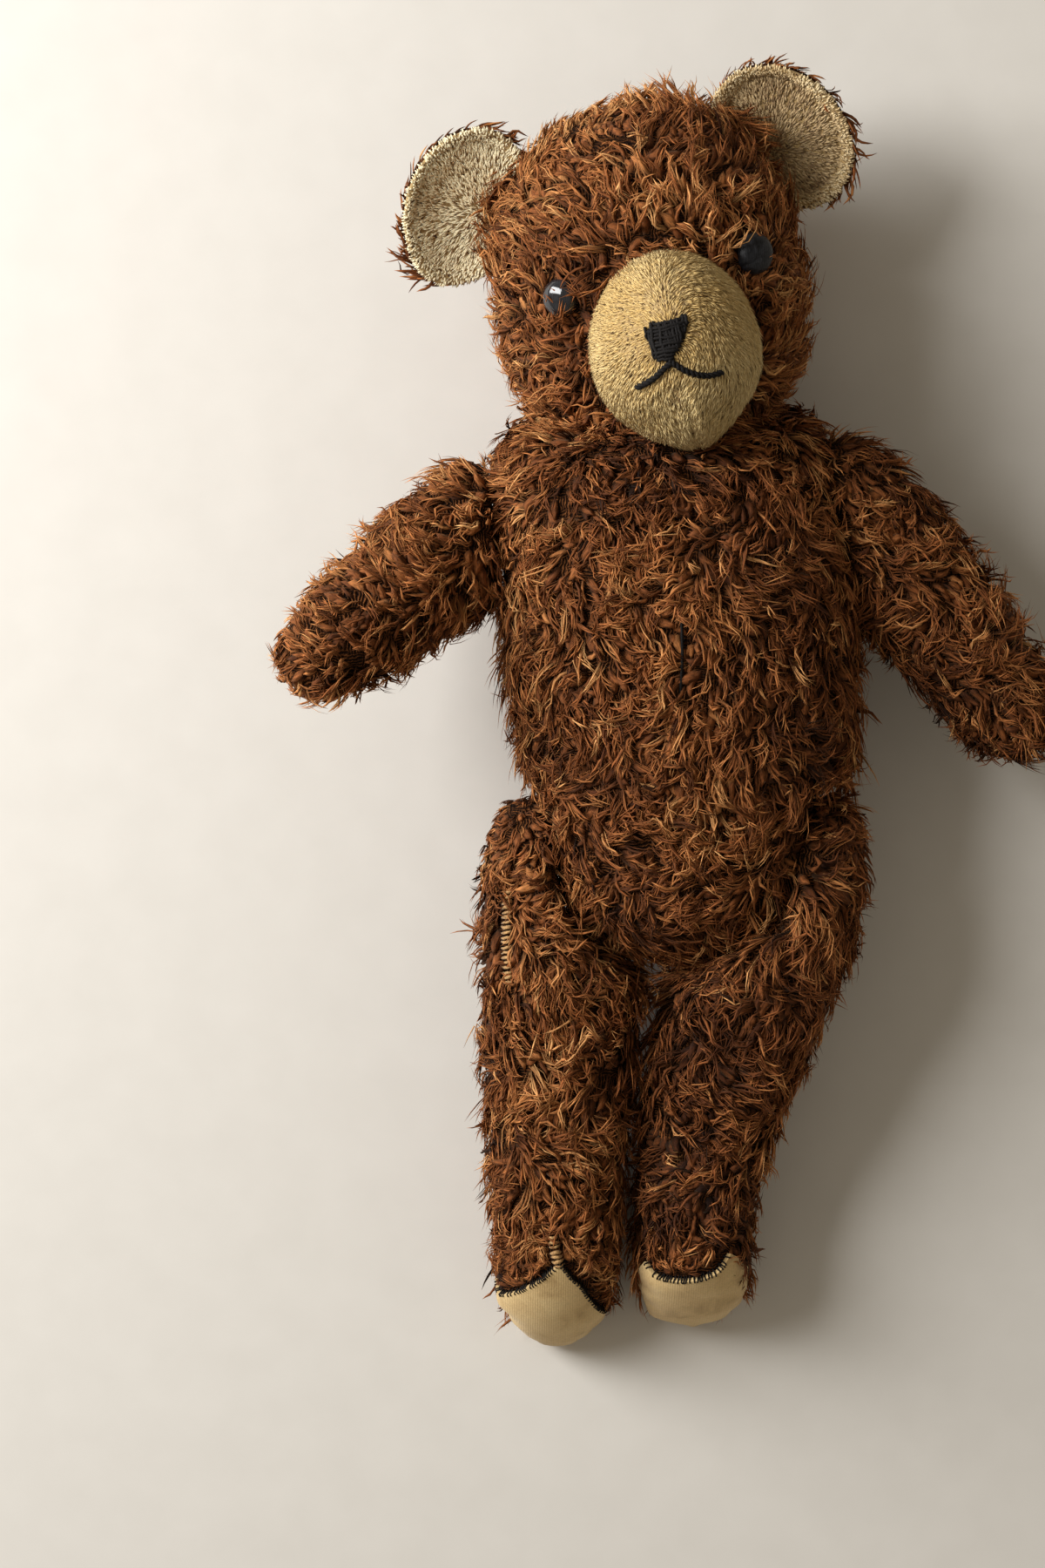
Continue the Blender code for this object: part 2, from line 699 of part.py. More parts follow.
for arm_name, (joint_name, middle, heading, rise, length) in ARMS.items():
    along = heading.normalized() * math.cos(rise) + Vector((0, 0, math.sin(rise)))
    x_axis = (-along).cross(Vector((0, 0, 1))).normalized()
    ARM = frame_from(BEAR @ middle, x_axis, -along, x_axis.cross(-along))
    arm = empty(arm_name, ARM, carriers[joint_name])
    stations = [(y * length, x, z, w, d) for y, x, z, w, d in ARM_STATIONS]
    form = stuffed_form(stations)
    trims = [joint_plane(joint_name, 1)]
    cover = add(f"{arm_name}_cover", cut_form(form, ARM, trims), MOHAIR, arm)
    boolean(cover, helper(f"{arm_name}_inside", cut_form(form, ARM, trims, WALL), arm))
    boolean(cover, holes[joint_name])
    stuffing = cut_form(form, ARM, trims, STUFFING_INSET)
    stuffing = add(f"{arm_name}_stuffing", stuffing, WOOD_WOOL, arm)
    boolean(stuffing, pocket(joint_name, arm, 1))

# ---------------------------------------------------------------- legs
# How far in the thigh may swell at each distance from the hip's axis, so that it
# clears the body at every angle: (distance, depth inside the joint's plane).
RIM_DRAW = 0.8  # how much of an inset goes into the hollow's rim
HIP_RELIEF = [
    (0.0255, 0.0),
    (0.0320, 0.0050),
    (0.0375, 0.0110),
    (0.0425, 0.0190),
    (0.0475, 0.0270),
    (0.0520, 0.0450),
]
RELIEF_STEPS = 24
LEG_STATIONS = {
    "right_leg": [
        (-0.0260, -0.0450, 0.0430, 0.0, 0.0),
        (-0.0330, -0.0425, 0.0430, 0.0150, 0.0170),
        (-0.0520, -0.0370, 0.0428, 0.0230, 0.0250),
        (-0.0820, -0.0350, 0.0400, 0.0245, 0.0255),
        (-0.1150, -0.0350, 0.0350, 0.0235, 0.0230),
        (-0.1480, -0.0355, 0.0290, 0.0215, 0.0210),
        (-0.1780, -0.0360, 0.0250, 0.0195, 0.0235),
        (-0.2090, -0.0363, 0.0225, 0.0180, 0.0265),
        (-0.2300, -0.0365, 0.0225, 0.0, 0.0),
    ],
    "left_leg": [
        (-0.0260, 0.0500, 0.0430, 0.0, 0.0),
        (-0.0330, 0.0470, 0.0430, 0.0150, 0.0170),
        (-0.0520, 0.0405, 0.0428, 0.0235, 0.0255),
        (-0.0800, 0.0310, 0.0400, 0.0275, 0.0270),
        (-0.1070, 0.0215, 0.0355, 0.0260, 0.0245),
        (-0.1350, 0.0120, 0.0290, 0.0215, 0.0215),
        (-0.1680, 0.0078, 0.0245, 0.0178, 0.0235),
        (-0.2010, 0.0083, 0.0225, 0.0178, 0.0265),
        (-0.2210, 0.0086, 0.0225, 0.0, 0.0),
    ],
}
SOLES = {
    # name: (joint, heel point, lean of the sole from upright)
    "right_leg": ("right_hip", Vector((-0.0367, -0.2150, 0.0)), math.radians(38)),
    "left_leg": ("left_hip", Vector((0.0088, -0.2080, 0.0)), math.radians(28)),
}


def relief(name, owner, inset):
    """The domed hollow that a hip needs free to turn, grown by inset."""
    point, axis, _ = JOINTS[name]
    top = JOINT_GAP / 2 + inset
    rim = [(radius + RIM_DRAW * inset, top - depth) for radius, depth in HIP_RELIEF]
    profile = [(0.0, top), *rim, (0.0, rim[-1][1])]
    hollow = turned_mesh(profile, RELIEF_STEPS, closed=False)
    return helper(f"{name}_relief", hollow, owner, joint_frame(BEAR @ point, axis))


for leg_name, (joint_name, heel, lean) in SOLES.items():
    leg = empty(leg_name, BEAR @ Matrix.Translation(JOINTS[joint_name][0]), carriers[joint_name])
    form = stuffed_form(LEG_STATIONS[leg_name])
    out_of_sole = Vector((0, -math.cos(lean), math.sin(lean)))
    heel_point = BEAR @ heel
    pad_back = heel_point - out_of_sole * FELT
    cloth_end = pad_back - out_of_sole * CLEAR

    pad = cut_form(form, BEAR, [(heel_point, out_of_sole), (pad_back, -out_of_sole)])
    add(f"{leg_name.replace('_leg', '')}_foot_pad", pad, FELT_CLOTH, leg, BEAR)

    skin = cut_form(form, BEAR, [(cloth_end, out_of_sole)])
    cover = add(f"{leg_name}_cover", skin, MOHAIR, leg, BEAR)
    boolean(cover, relief(joint_name, leg, 0.0))
    inside = helper(f"{leg_name}_inside", cut_form(form, BEAR, [], WALL), leg, BEAR)
    boolean(inside, relief(joint_name, leg, WALL))
    boolean(cover, inside)
    boolean(cover, holes[joint_name])

    fill_end = cloth_end + out_of_sole * (STUFFING_INSET - FILL_GAP)  # a gap under the pad
    fill = cut_form(form, BEAR, [(fill_end, out_of_sole)], STUFFING_INSET)
    stuffing = add(f"{leg_name}_stuffing", fill, WOOD_WOOL, leg, BEAR)
    boolean(stuffing, relief(joint_name, leg, STUFFING_INSET))
    boolean(stuffing, pocket(joint_name, leg, 1))
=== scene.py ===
"""The looks of a worn, disc-jointed mohair teddy bear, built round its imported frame.

The bear lies on its back with its feet towards -Y. Right and left are its own.
"""

import json
import math

import bmesh
import bpy
import numpy as np
from mathutils import Matrix, Vector
from mathutils.bvhtree import BVHTree

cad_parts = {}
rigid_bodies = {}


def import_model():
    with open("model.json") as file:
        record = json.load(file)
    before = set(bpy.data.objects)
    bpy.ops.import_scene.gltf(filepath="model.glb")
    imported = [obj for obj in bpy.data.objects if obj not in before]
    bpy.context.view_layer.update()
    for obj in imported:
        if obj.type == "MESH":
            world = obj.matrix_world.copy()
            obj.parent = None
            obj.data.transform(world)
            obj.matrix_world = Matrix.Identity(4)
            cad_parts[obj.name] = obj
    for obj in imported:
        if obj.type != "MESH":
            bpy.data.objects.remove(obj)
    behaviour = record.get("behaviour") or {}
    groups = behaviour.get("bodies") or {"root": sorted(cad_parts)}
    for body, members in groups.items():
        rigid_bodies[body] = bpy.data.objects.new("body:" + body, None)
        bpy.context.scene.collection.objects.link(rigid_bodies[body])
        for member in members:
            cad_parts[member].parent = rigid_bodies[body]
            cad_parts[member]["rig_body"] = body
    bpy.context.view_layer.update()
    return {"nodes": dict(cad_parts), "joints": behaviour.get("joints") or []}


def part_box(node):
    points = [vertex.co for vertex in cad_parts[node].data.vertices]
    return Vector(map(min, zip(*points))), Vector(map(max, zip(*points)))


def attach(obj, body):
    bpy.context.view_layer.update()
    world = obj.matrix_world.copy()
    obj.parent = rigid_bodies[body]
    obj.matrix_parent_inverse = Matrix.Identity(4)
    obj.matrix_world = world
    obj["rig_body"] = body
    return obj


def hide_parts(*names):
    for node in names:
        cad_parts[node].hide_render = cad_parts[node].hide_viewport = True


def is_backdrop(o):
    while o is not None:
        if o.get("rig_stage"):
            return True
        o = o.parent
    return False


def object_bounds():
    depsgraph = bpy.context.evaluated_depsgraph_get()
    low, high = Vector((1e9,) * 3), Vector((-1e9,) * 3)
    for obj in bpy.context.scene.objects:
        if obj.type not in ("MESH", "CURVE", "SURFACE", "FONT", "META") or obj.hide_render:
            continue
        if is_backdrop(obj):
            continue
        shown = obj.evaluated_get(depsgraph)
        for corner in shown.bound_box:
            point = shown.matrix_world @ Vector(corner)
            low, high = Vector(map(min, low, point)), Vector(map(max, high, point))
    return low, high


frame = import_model()
nodes = frame["nodes"]

# ---------------------------------------------------------------- covers
# Body, head, arms and legs are bags of mohair cloth, sewn inside out, turned and packed
# hard with wood wool. The packing swells the cloth everywhere but at the joints, where
# a hardboard disc behind it holds it flat, and the bear's weight flattens its back.
CLOTH_GRID = 0.0045  # spacing of the cloth's points before it is smoothed
INNER_GAP = 0.0018  # a face of the cover this near to the packing is its inside
MOST_SWELL = 0.0022  # how far the packing may push the cloth out
PRESSURE = 4.0
STEPS = 20  # of the packing's push
HELD = 0.0045  # a point this near to another form or to a joint's plane stays put
JOINT_REACH = 0.032  # how far from its middle a joint's flat reaches
BACK_LIFT = 0.0012  # room for pile pressed flat under the bear
JOINT_PLAY = 0.0002  # left between the cloth and the joint's plane
FLATTENED = 0.004  # the most that a joint presses the cloth in
SOLE_DOMES = {"right_leg": 0.0075, "left_leg": 0.0036}  # how far the packing bulges each
SOLE_DEPTH = 0.003  # cloth this near to the sole's plane bulges with it
FORMS = ("torso", "head", "right_arm", "left_arm", "right_leg", "left_leg")


def tree_of(names):
    """One search tree of several CAD nodes."""
    corners, faces = [], []
    for name in names:
        mesh = nodes[name].data
        faces += [[i + len(corners) for i in p.vertices] for p in mesh.polygons]
        corners += [v.co.copy() for v in mesh.vertices]
    return BVHTree.FromPolygons(corners, faces)


def thin_axis(name):
    """The middle of a flat or domed CAD node and the direction it is thinnest in."""
    corners = np.array([v.co for v in nodes[name].data.vertices])
    middle = corners.mean(axis=0)
    axes = np.linalg.svd(corners - middle, full_matrices=False)[2]
    return Vector(middle), Vector(axes[2])


def deselect_all():
    for thing in bpy.context.selected_objects:
        thing.select_set(False)


def piece_from(bm, name):
    """A new object at the origin, made the active and only selected one."""
    mesh = bpy.data.meshes.new(name)
    bm.to_mesh(mesh)
    bm.free()
    piece = bpy.data.objects.new(name, mesh)
    bpy.context.scene.collection.objects.link(piece)
    deselect_all()
    piece.select_set(True)
    bpy.context.view_layer.objects.active = piece
    return piece


def modify(piece, kind, **settings):
    """Adds a modifier and applies it."""
    bpy.context.view_layer.objects.active = piece
    step = piece.modifiers.new(kind.lower(), kind)
    for key, value in settings.items():
        setattr(step, key, value)
    bpy.ops.object.modifier_apply(modifier=step.name)


def islands_of(bm):
    """The sets of faces that hang together, smallest first."""
    islands, left = [], set(bm.faces)
    while left:
        island, grow = set(), [left.pop()]
        while grow:
            face = grow.pop()
            island.add(face)
            beside = {other for edge in face.edges for other in edge.link_faces} & left
            left -= beside
            grow += beside
        islands.append(island)
    return sorted(islands, key=lambda faces: sum(f.calc_area() for f in faces))


def outer_skin(form):
    """The outside of a form's hollow cover as one closed surface."""
    discs = [n for n in nodes if n.endswith("disc") and n in nodes_of[form]]
    packing = tree_of([f"{form}_stuffing", *discs])
    bm = bmesh.new()
    bm.from_mesh(nodes[f"{form}_cover"].data)
    bmesh.ops.remove_doubles(bm, verts=bm.verts, dist=1e-6)
    bm.normal_update()
    inside = []
    for face in bm.faces:
        middle = face.calc_center_median()
        near, _, _, gap = packing.find_nearest(middle)
        if gap < INNER_GAP or face.normal.dot(middle - near) < 0.7 * gap:
            inside.append(face)
    bmesh.ops.delete(bm, geom=inside, context="FACES")
    for island in islands_of(bm)[:-1]:
        bmesh.ops.delete(bm, geom=list(island), context="FACES")
    loose = [v for v in bm.verts if not v.link_faces]
    bmesh.ops.delete(bm, geom=loose, context="VERTS")
    bmesh.ops.holes_fill(bm, edges=[e for e in bm.edges if e.is_boundary], sides=0)
    bmesh.ops.triangulate(bm, faces=[f for f in bm.faces if len(f.verts) > 3])
    bmesh.ops.recalc_face_normals(bm, faces=bm.faces)
    return piece_from(bm, f"{form}_skin")


nodes_of = {body: [n for n in nodes if nodes[n]["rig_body"] == body] for body in FORMS}
joints_of = {form: [] for form in FORMS}  # (point, direction out of the form)
for joint in frame["joints"]:
    point, axis = Vector(joint["pos_m"]), Vector(joint["axis"]).normalized()
    for form in (joint["parent"], joint["child"]):
        low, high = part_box(f"{form}_stuffing")
        away = axis if axis.dot(point - (low + high) / 2) > 0 else -axis
        joints_of[form].append((point, away))

soles = {}  # leg: (middle of the sole, directions out, up and across, half its sizes)
for form in ("right_leg", "left_leg"):
    middle, out = thin_axis(form.replace("leg", "foot_pad"))
    out = out if out.y < 0 else -out
    up = out.cross(Vector((1, 0, 0))).normalized()
    up = up if up.z > 0 else -up
    across = up.cross(out)
    pad = [v.co - middle for v in nodes[form.replace("leg", "foot_pad")].data.vertices]
    halves = [max(abs(p.dot(way)) for p in pad) for way in (across, up)]
    soles[form] = (middle, out, up, across, halves)

skins = {}
for form in FORMS:
    skin = outer_skin(form)
    modify(skin, "REMESH", mode="VOXEL", voxel_size=CLOTH_GRID)
    others = tree_of([f"{other}_cover" for other in FORMS if other != form])
    held = skin.vertex_groups.new(name="held")
    for vert in skin.data.vertices:
        if form in soles:
            middle, out, up, across, halves = soles[form]
            off = vert.co - middle
            if abs(off.dot(out)) < SOLE_DEPTH:
                ring = (off.dot(across) / halves[0]) ** 2
                ring += (off.dot(up) / halves[1]) ** 2
                vert.co += out * SOLE_DOMES[form] * max(0.0, 1.0 - ring)
        at_joint = any(
            abs((vert.co - p).dot(out)) < HELD and (vert.co - p).length < JOINT_REACH
            for p, out in joints_of[form]
        )
        if at_joint or vert.co.z < HELD or others.find_nearest(vert.co)[3] < HELD:
            held.add([vert.index], 1.0, "REPLACE")
    skins[form] = skin

before = {form: [v.co.copy() for v in skins[form].data.vertices] for form in FORMS}
for form in FORMS:
    cloth = skins[form].modifiers.new("cloth", "CLOTH")
    cloth.settings.vertex_group_mass = "held"
    cloth.settings.use_pressure = True
    cloth.settings.uniform_pressure_force = PRESSURE
    cloth.settings.effector_weights.gravity = 0.0
    cloth.collision_settings.use_collision = False
for step in range(1, STEPS + 1):
    bpy.context.scene.frame_set(step)
graph = bpy.context.evaluated_depsgraph_get()
swollen = {
    form: [v.co.copy() for v in skins[form].evaluated_get(graph).data.vertices] for form in FORMS
}
for form, skin in skins.items():
    skin.modifiers.clear()
    for vert, old, new in zip(skin.data.vertices, before[form], swollen[form]):
        move = new - old
        vert.co = old + move * min(1.0, MOST_SWELL / max(move.length, 1e-9))
bpy.context.scene.frame_set(1)

for form, skin in skins.items():
    modify(skin, "SUBSURF", levels=1, render_levels=1)
    for vert in skin.data.vertices:
        for point, away in joints_of[form]:
            over = (vert.co - point).dot(away) + JOINT_PLAY
            if 0 < over < FLATTENED and (vert.co - point).length < JOINT_REACH:
                vert.co -= away * over
        vert.co.z = max(vert.co.z, BACK_LIFT)
    skin.vertex_groups.clear()
    skin.data.shade_smooth()
    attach(skin, form)
    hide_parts(f"{form}_cover")

# The ground of the cloth: a matted, dusty undercoat, with painted shade in patches where the pile
# would lie deep.


def shaded(name, roughness, sheen=0.0):
    """A new material with its node tree, its links and its shader."""
    made = bpy.data.materials.new(name)
    made.use_nodes = True
    tree = made.node_tree
    shader = tree.nodes["Principled BSDF"]
    shader.inputs["Roughness"].default_value = roughness
    shader.inputs["Sheen Weight"].default_value = sheen
    shader.inputs["Sheen Roughness"].default_value = 0.5
    return made, tree, shader


def node(tree, kind, **settings):
    """A node of a material; a setting is an input's value or a property."""
    made = tree.nodes.new(kind)
    for key, value in settings.items():
        if key in made.inputs:
            made.inputs[key].default_value = value
        else:
            setattr(made, key, value)
    return made


def ramp(tree, factor, *stops):
    """A colour ramp from (position, colour) stops."""
    made = tree.nodes.new("ShaderNodeValToRGB")
    for place, colour in stops[2:]:
        made.color_ramp.elements.new(place)
    for element, (place, colour) in zip(made.color_ramp.elements, sorted(stops)):
        element.position = place
        element.color = (*colour, 1.0)
    tree.links.new(factor, made.inputs["Fac"])
    return made.outputs["Color"]


def mixed(tree, kind, factor, first, second):
    """A colour mix; first and second are sockets or colours."""
    made = node(tree, "ShaderNodeMix", data_type="RGBA", blend_type=kind)
    for socket, value in (("Factor", factor), ("A", first), ("B", second)):
        spot = next(i for i in made.inputs if i.name == socket and i.enabled)
        if isinstance(value, (int, float)):
            spot.default_value = value
        elif isinstance(value, tuple):
            spot.default_value = (*value, 1.0)
        else:
            tree.links.new(value, spot)
    return next(o for o in made.outputs if o.enabled)


def pattern(tree, kind, **settings):
    """How strong a texture is at each place of the piece, read at the piece's own place."""
    made = node(tree, f"ShaderNodeTex{kind}", **settings)
    place = node(tree, "ShaderNodeTexCoord")
    tree.links.new(place.outputs["Object"], made.inputs["Vector"])
    return made.outputs["Fac"]


def bumped(tree, shader, height, strength, distance):
    """Relief on a finish."""
    bump = node(tree, "ShaderNodeBump", Strength=strength, Distance=distance)
    tree.links.new(height, bump.inputs["Height"])
    tree.links.new(bump.outputs["Normal"], shader.inputs["Normal"])


def speckled(name, roughness, scale, detail, stops, relief, sheen=0.0, distortion=0.0):
    """A finish of one fine texture in two or three tones, with its relief; and its shader."""
    made, tree, shader = shaded(name, roughness, sheen)
    specks = pattern(tree, "Noise", Scale=scale, Detail=detail, Distortion=distortion)
    tree.links.new(ramp(tree, specks, *stops), shader.inputs["Base Color"])
    if relief:
        bumped(tree, shader, specks, *relief)
    return made, shader


undercoat, tree, shader = shaded("mohair_undercoat", 0.95)
shader.inputs["Specular IOR Level"].default_value = 0.1
swirls = pattern(tree, "Noise", Scale=110.0, Detail=2.0)
patches = pattern(tree, "Noise", Scale=320.0, Detail=4.0)
curls = {"Distortion": 14.0, "Detail": 3.0, "Detail Scale": 0.7}
across_x = pattern(tree, "Wave", bands_direction="X", Scale=300.0, **curls)
across_y = pattern(tree, "Wave", bands_direction="Y", Scale=340.0, **curls)
sides = ramp(tree, swirls, (0.46, (0.0,) * 3), (0.54, (1.0,) * 3))
fibres = mixed(tree, "MIX", sides, across_x, across_y)
ground = ramp(
    tree, fibres,
    (0.10, (0.012, 0.004, 0.0013)), (0.55, (0.080, 0.027, 0.008)), (1.0, (0.200, 0.072, 0.021)),
)
# Painted shade: noise patches darken the ground to about a third, standing in for the shade under
# deep pile.
depth = ramp(tree, patches, (0.38, (0.35,) * 3), (0.62, (1.1,) * 3))
tree.links.new(mixed(tree, "MULTIPLY", 1.0, ground, depth), shader.inputs["Base Color"])
bumped(tree, shader, mixed(tree, "ADD", 1.0, fibres, patches), 0.9, 0.0012)
for skin in skins.values():
    skin.data.materials.append(undercoat)

# ---------------------------------------------------------------- soles
# Each sole is a patch of cream wool felt let into the foot and packed into a dome. Its
# upper edge is overcast with black thread; its lower edge is turned in under the heel.
PAD_PLAY = 0.0005  # the felt lies this far off the cloth it covers
FELT = 0.0016
PAD_DEPTH = 0.0075  # how far round the sole's edge the felt reaches
ON_CUT = 0.00001  # how near to a cut's plane a point of the felt's edge lies
PAD_FRINGE = 0.0085  # the pile this near to the felt is short and combed away from it
STITCH_PITCH = 0.0012
STITCH_REACH = 0.0009  # to each side of the felt's edge
STITCH_THREAD = 0.00027
FELT_TOP = PAD_PLAY + FELT
# A stitch from the felt over its edge to the pile: how far out, and how high over the cloth.
STITCH_PATH = (
    (-1, FELT_TOP - 0.0004), (-0.6, FELT_TOP + 0.0002), (0, FELT_TOP + 0.0002), (0.6, 0.0006),
    (1, -0.0004),
)
# Upper edge of each pad, in metres across and up the sole from its middle.
PAD_EDGES = {
    "right_leg": (
        (-0.0190, 0.0000), (-0.0085, 0.0155), (0.0008, 0.0262), (0.0078, 0.0152), (0.0185, -0.0150),
    ),
    "left_leg": (
        (-0.0215, 0.0110), (-0.0110, 0.0190), (-0.0010, 0.0212), (0.0110, 0.0258), (0.0200, 0.0180),
    ),
}


def on_sole(form, across, up):
    """A point of a leg's sole, so far across and up it from its middle."""
    middle, _, upward, sideways, _ = soles[form]
    return middle + sideways * across + upward * up


def pad_cuts(form):
    """The planes that bound a pad: a point on each and its direction out of the felt."""
    middle, out = soles[form][:2]
    edge = [on_sole(form, *spot) for spot in PAD_EDGES[form]]
    cuts = [(a, out.cross(b - a).normalized()) for a, b in zip(edge, edge[1:])]
    return cuts + [(middle - out * PAD_DEPTH, -out)]


def under_pad(form, points, margin=0.0):
    """Which points lie under a pad or within a margin round it."""
    covered = np.ones(len(points), bool)
    for point, outward in pad_cuts(form):
        covered &= (points - np.array(point)) @ np.array(outward) < margin
    return covered


def beside_pad(form, points):
    """How near points outside a pad are to its edge, from 0 to 1, and the way out of it."""
    over, way = np.full(len(points), -1.0), np.zeros((len(points), 3))
    for point, outward in pad_cuts(form)[:-1]:
        this = (points - np.array(point)) @ np.array(outward)
        way[this > over] = outward
        over = np.maximum(over, this)
    return np.where(over > 0, np.exp(-((over / PAD_FRINGE) ** 2)), 0.0), way


def unit(vectors):
    return vectors / np.maximum(np.linalg.norm(vectors, axis=-1, keepdims=True), 1e-9)


def cords(name, runs, radii, sides=6):
    """One piece of closed round cords, one through each run of points."""
    verts, faces = [], []
    for run, radius in zip(runs, radii):
        run = np.array(run, float)
        ways = unit(np.gradient(run, axis=0))
        side = unit(np.cross(ways[0], (0.31, 0.52, 0.79)))
        first = len(verts)
        for k, (spot, way) in enumerate(zip(run, ways)):
            side = unit(side - way * (side @ way))
            top = np.cross(way, side)
            thick = radius * (0.55 if k in (0, len(run) - 1) else 1.0)
            for turn in np.arange(sides) * 2 * math.pi / sides:
                verts.append(spot + thick * (side * math.cos(turn) + top * math.sin(turn)))
        for k in range(len(run) - 1):
            for j in range(sides):
                a, b = first + k * sides + j, first + k * sides + (j + 1) % sides
                faces.append((a, b, b + sides, a + sides))
        faces.append(tuple(first + j for j in reversed(range(sides))))
        faces.append(tuple(len(verts) - sides + j for j in range(sides)))
    bm = bmesh.new()
    made = [bm.verts.new(v) for v in verts]
    for face in faces:
        bm.faces.new([made[i] for i in face])
    piece = piece_from(bm, name)
    piece.data.shade_smooth()
    return piece


felt, tree, shader = shaded("cream_felt", 0.85, 0.12)
stains = pattern(tree, "Noise", Scale=90.0, Detail=4.0, Distortion=0.6)
lint = pattern(tree, "Noise", Scale=1500.0, Detail=3.0)
twill = pattern(tree, "Wave", Scale=420.0, Distortion=1.2, Detail=2.0)
ground = ramp(
    tree, stains,
    (0.25, (0.430, 0.275, 0.105)), (0.45, (0.630, 0.435, 0.190)), (0.65, (0.700, 0.505, 0.235)),
)
weave = ramp(tree, twill, (0.0, (0.95,) * 3), (1.0, (1.02,) * 3))
fluff = ramp(tree, lint, (0.3, (0.88,) * 3), (0.7, (1.08,) * 3))
colour = mixed(tree, "MULTIPLY", 1.0, mixed(tree, "MULTIPLY", 1.0, ground, weave), fluff)
tree.links.new(colour, shader.inputs["Base Color"])
bumped(tree, shader, mixed(tree, "ADD", 1.0, twill, lint), 0.22, 0.0002)

BLACKS = ((0.35, (0.002, 0.0018, 0.0018)), (0.7, (0.014, 0.011, 0.010)))
thread, shader = speckled("black_thread", 0.75, 2200.0, 3.0, BLACKS, (0.5, 0.0003))
shader.inputs["Specular IOR Level"].default_value = 0.2

for form in soles:
    bm = bmesh.new()
    bm.from_mesh(skins[form].data)
    for point, outward in pad_cuts(form):
        everything = bm.verts[:] + bm.edges[:] + bm.faces[:]
        bmesh.ops.bisect_plane(
            bm, geom=everything, plane_co=point, plane_no=outward, clear_outer=True
        )
    bm.normal_update()
    sewn = []
    for run in (e for e in bm.edges if e.is_boundary):
        a, b = run.verts
        for point, outward in pad_cuts(form)[:-1]:
            if all(abs((v.co - point).dot(outward)) < ON_CUT for v in run.verts):
                sewn.append((a.co.copy(), b.co.copy(), (a.normal + b.normal).normalized(), outward))
                break
    for vert in bm.verts:
        vert.co += vert.normal * PAD_PLAY
    side = form.split("_")[0]
    pad = piece_from(bm, f"{side}_sole_felt")
    modify(pad, "SOLIDIFY", thickness=FELT, offset=1.0, use_rim=True)
    modify(
        pad, "BEVEL", width=0.0004, segments=2, limit_method="ANGLE", angle_limit=math.radians(50)
    )
    pad.data.shade_smooth()
    pad.data.materials.append(felt)
    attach(pad, form)
    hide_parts(f"{side}_foot_pad")

    rng = np.random.default_rng(41)
    stitches = []
    for a, b, normal, outward in sewn:
        across = (outward - normal * outward.dot(normal)).normalized()
        count = int((b - a).length / STITCH_PITCH + rng.random())
        for k in range(count):
            slant = (b - a).normalized() * rng.uniform(-0.0004, 0.0004)
            way = across * STITCH_REACH * rng.uniform(0.7, 1.2) + slant
            spot = a.lerp(b, (k + 0.5) / count)
            stitches.append([spot + way * t + normal * h for t, h in STITCH_PATH])
    overcast = cords(f"{side}_sole_stitches", stitches, [STITCH_THREAD] * len(stitches), 5)
    overcast.data.materials.append(thread)
    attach(overcast, form)

# ---------------------------------------------------------------- muzzle
# A dome of short cream plush, darted under the chin, sewn over a hole in the face and
# packed hard. Its pile is combed round the nose and is worn to the backing beside it.
neck = next(Vector(joint["pos_m"]) for joint in frame["joints"] if joint["name"] == "neck")
HEAD = (
    Matrix.Translation(neck + Vector((-0.0053, 0.0467, 0.0060)))
    @ Matrix.Rotation(math.radians(12.8), 4, "Z")
    @ Matrix.Rotation(math.radians(20.0), 4, "X")
    @ Matrix.Rotation(math.radians(-2.0), 4, "Y")
)  # the head's own frame: x to the bear's left, y to the crown, z out of the face
MUZZLE_MIDDLE = Vector((0.0024, -0.0160, 0.0500))
MUZZLE_RADII = (0.0253, 0.0290, 0.0345)
NOSE_MIDDLE = (0.0000, -0.0045)
CHIN = -1.52  # direction of the chin's tuft round the muzzle, in radians
JOWLS = (-0.85, -2.25)  # directions of the hollows beside it


def settle(piece):
    """Puts a cut mesh's points and faces in an order that is the same on each run."""
    mesh = piece.data
    places = [tuple(round(c, 6) for c in v.co) for v in mesh.vertices]
    order = sorted(range(len(places)), key=places.__getitem__)
    rank = {old: new for new, old in enumerate(order)}
    faces = []
    for face in mesh.polygons:
        ring = [rank[i] for i in face.vertices]
        first = ring.index(min(ring))
        faces.append(ring[first:] + ring[:first])
    mesh.clear_geometry()
    mesh.from_pydata([places[i] for i in order], [], sorted(faces))


def dome(name, segments, cut, up=1, closed=True):
    """A ball of radius 1 cut off level, with its cut closed or left open."""
    deselect_all()
    bpy.ops.mesh.primitive_uv_sphere_add(segments=segments[0], ring_count=segments[1], radius=1.0)
    made = bpy.context.object
    made.name = name
    bpy.ops.object.mode_set(mode="EDIT")
    bpy.ops.mesh.select_all(action="SELECT")
    bpy.ops.mesh.bisect(
        plane_co=(0, 0, cut), plane_no=(0, 0, up), use_fill=closed, clear_inner=True
    )
    bpy.ops.object.mode_set(mode="OBJECT")
    settle(made)
    return made


def face_outwards(piece):
    bm = bmesh.new()
    bm.from_mesh(piece.data)
    bmesh.ops.recalc_face_normals(bm, faces=bm.faces)
    bm.to_mesh(piece.data)
    bm.free()


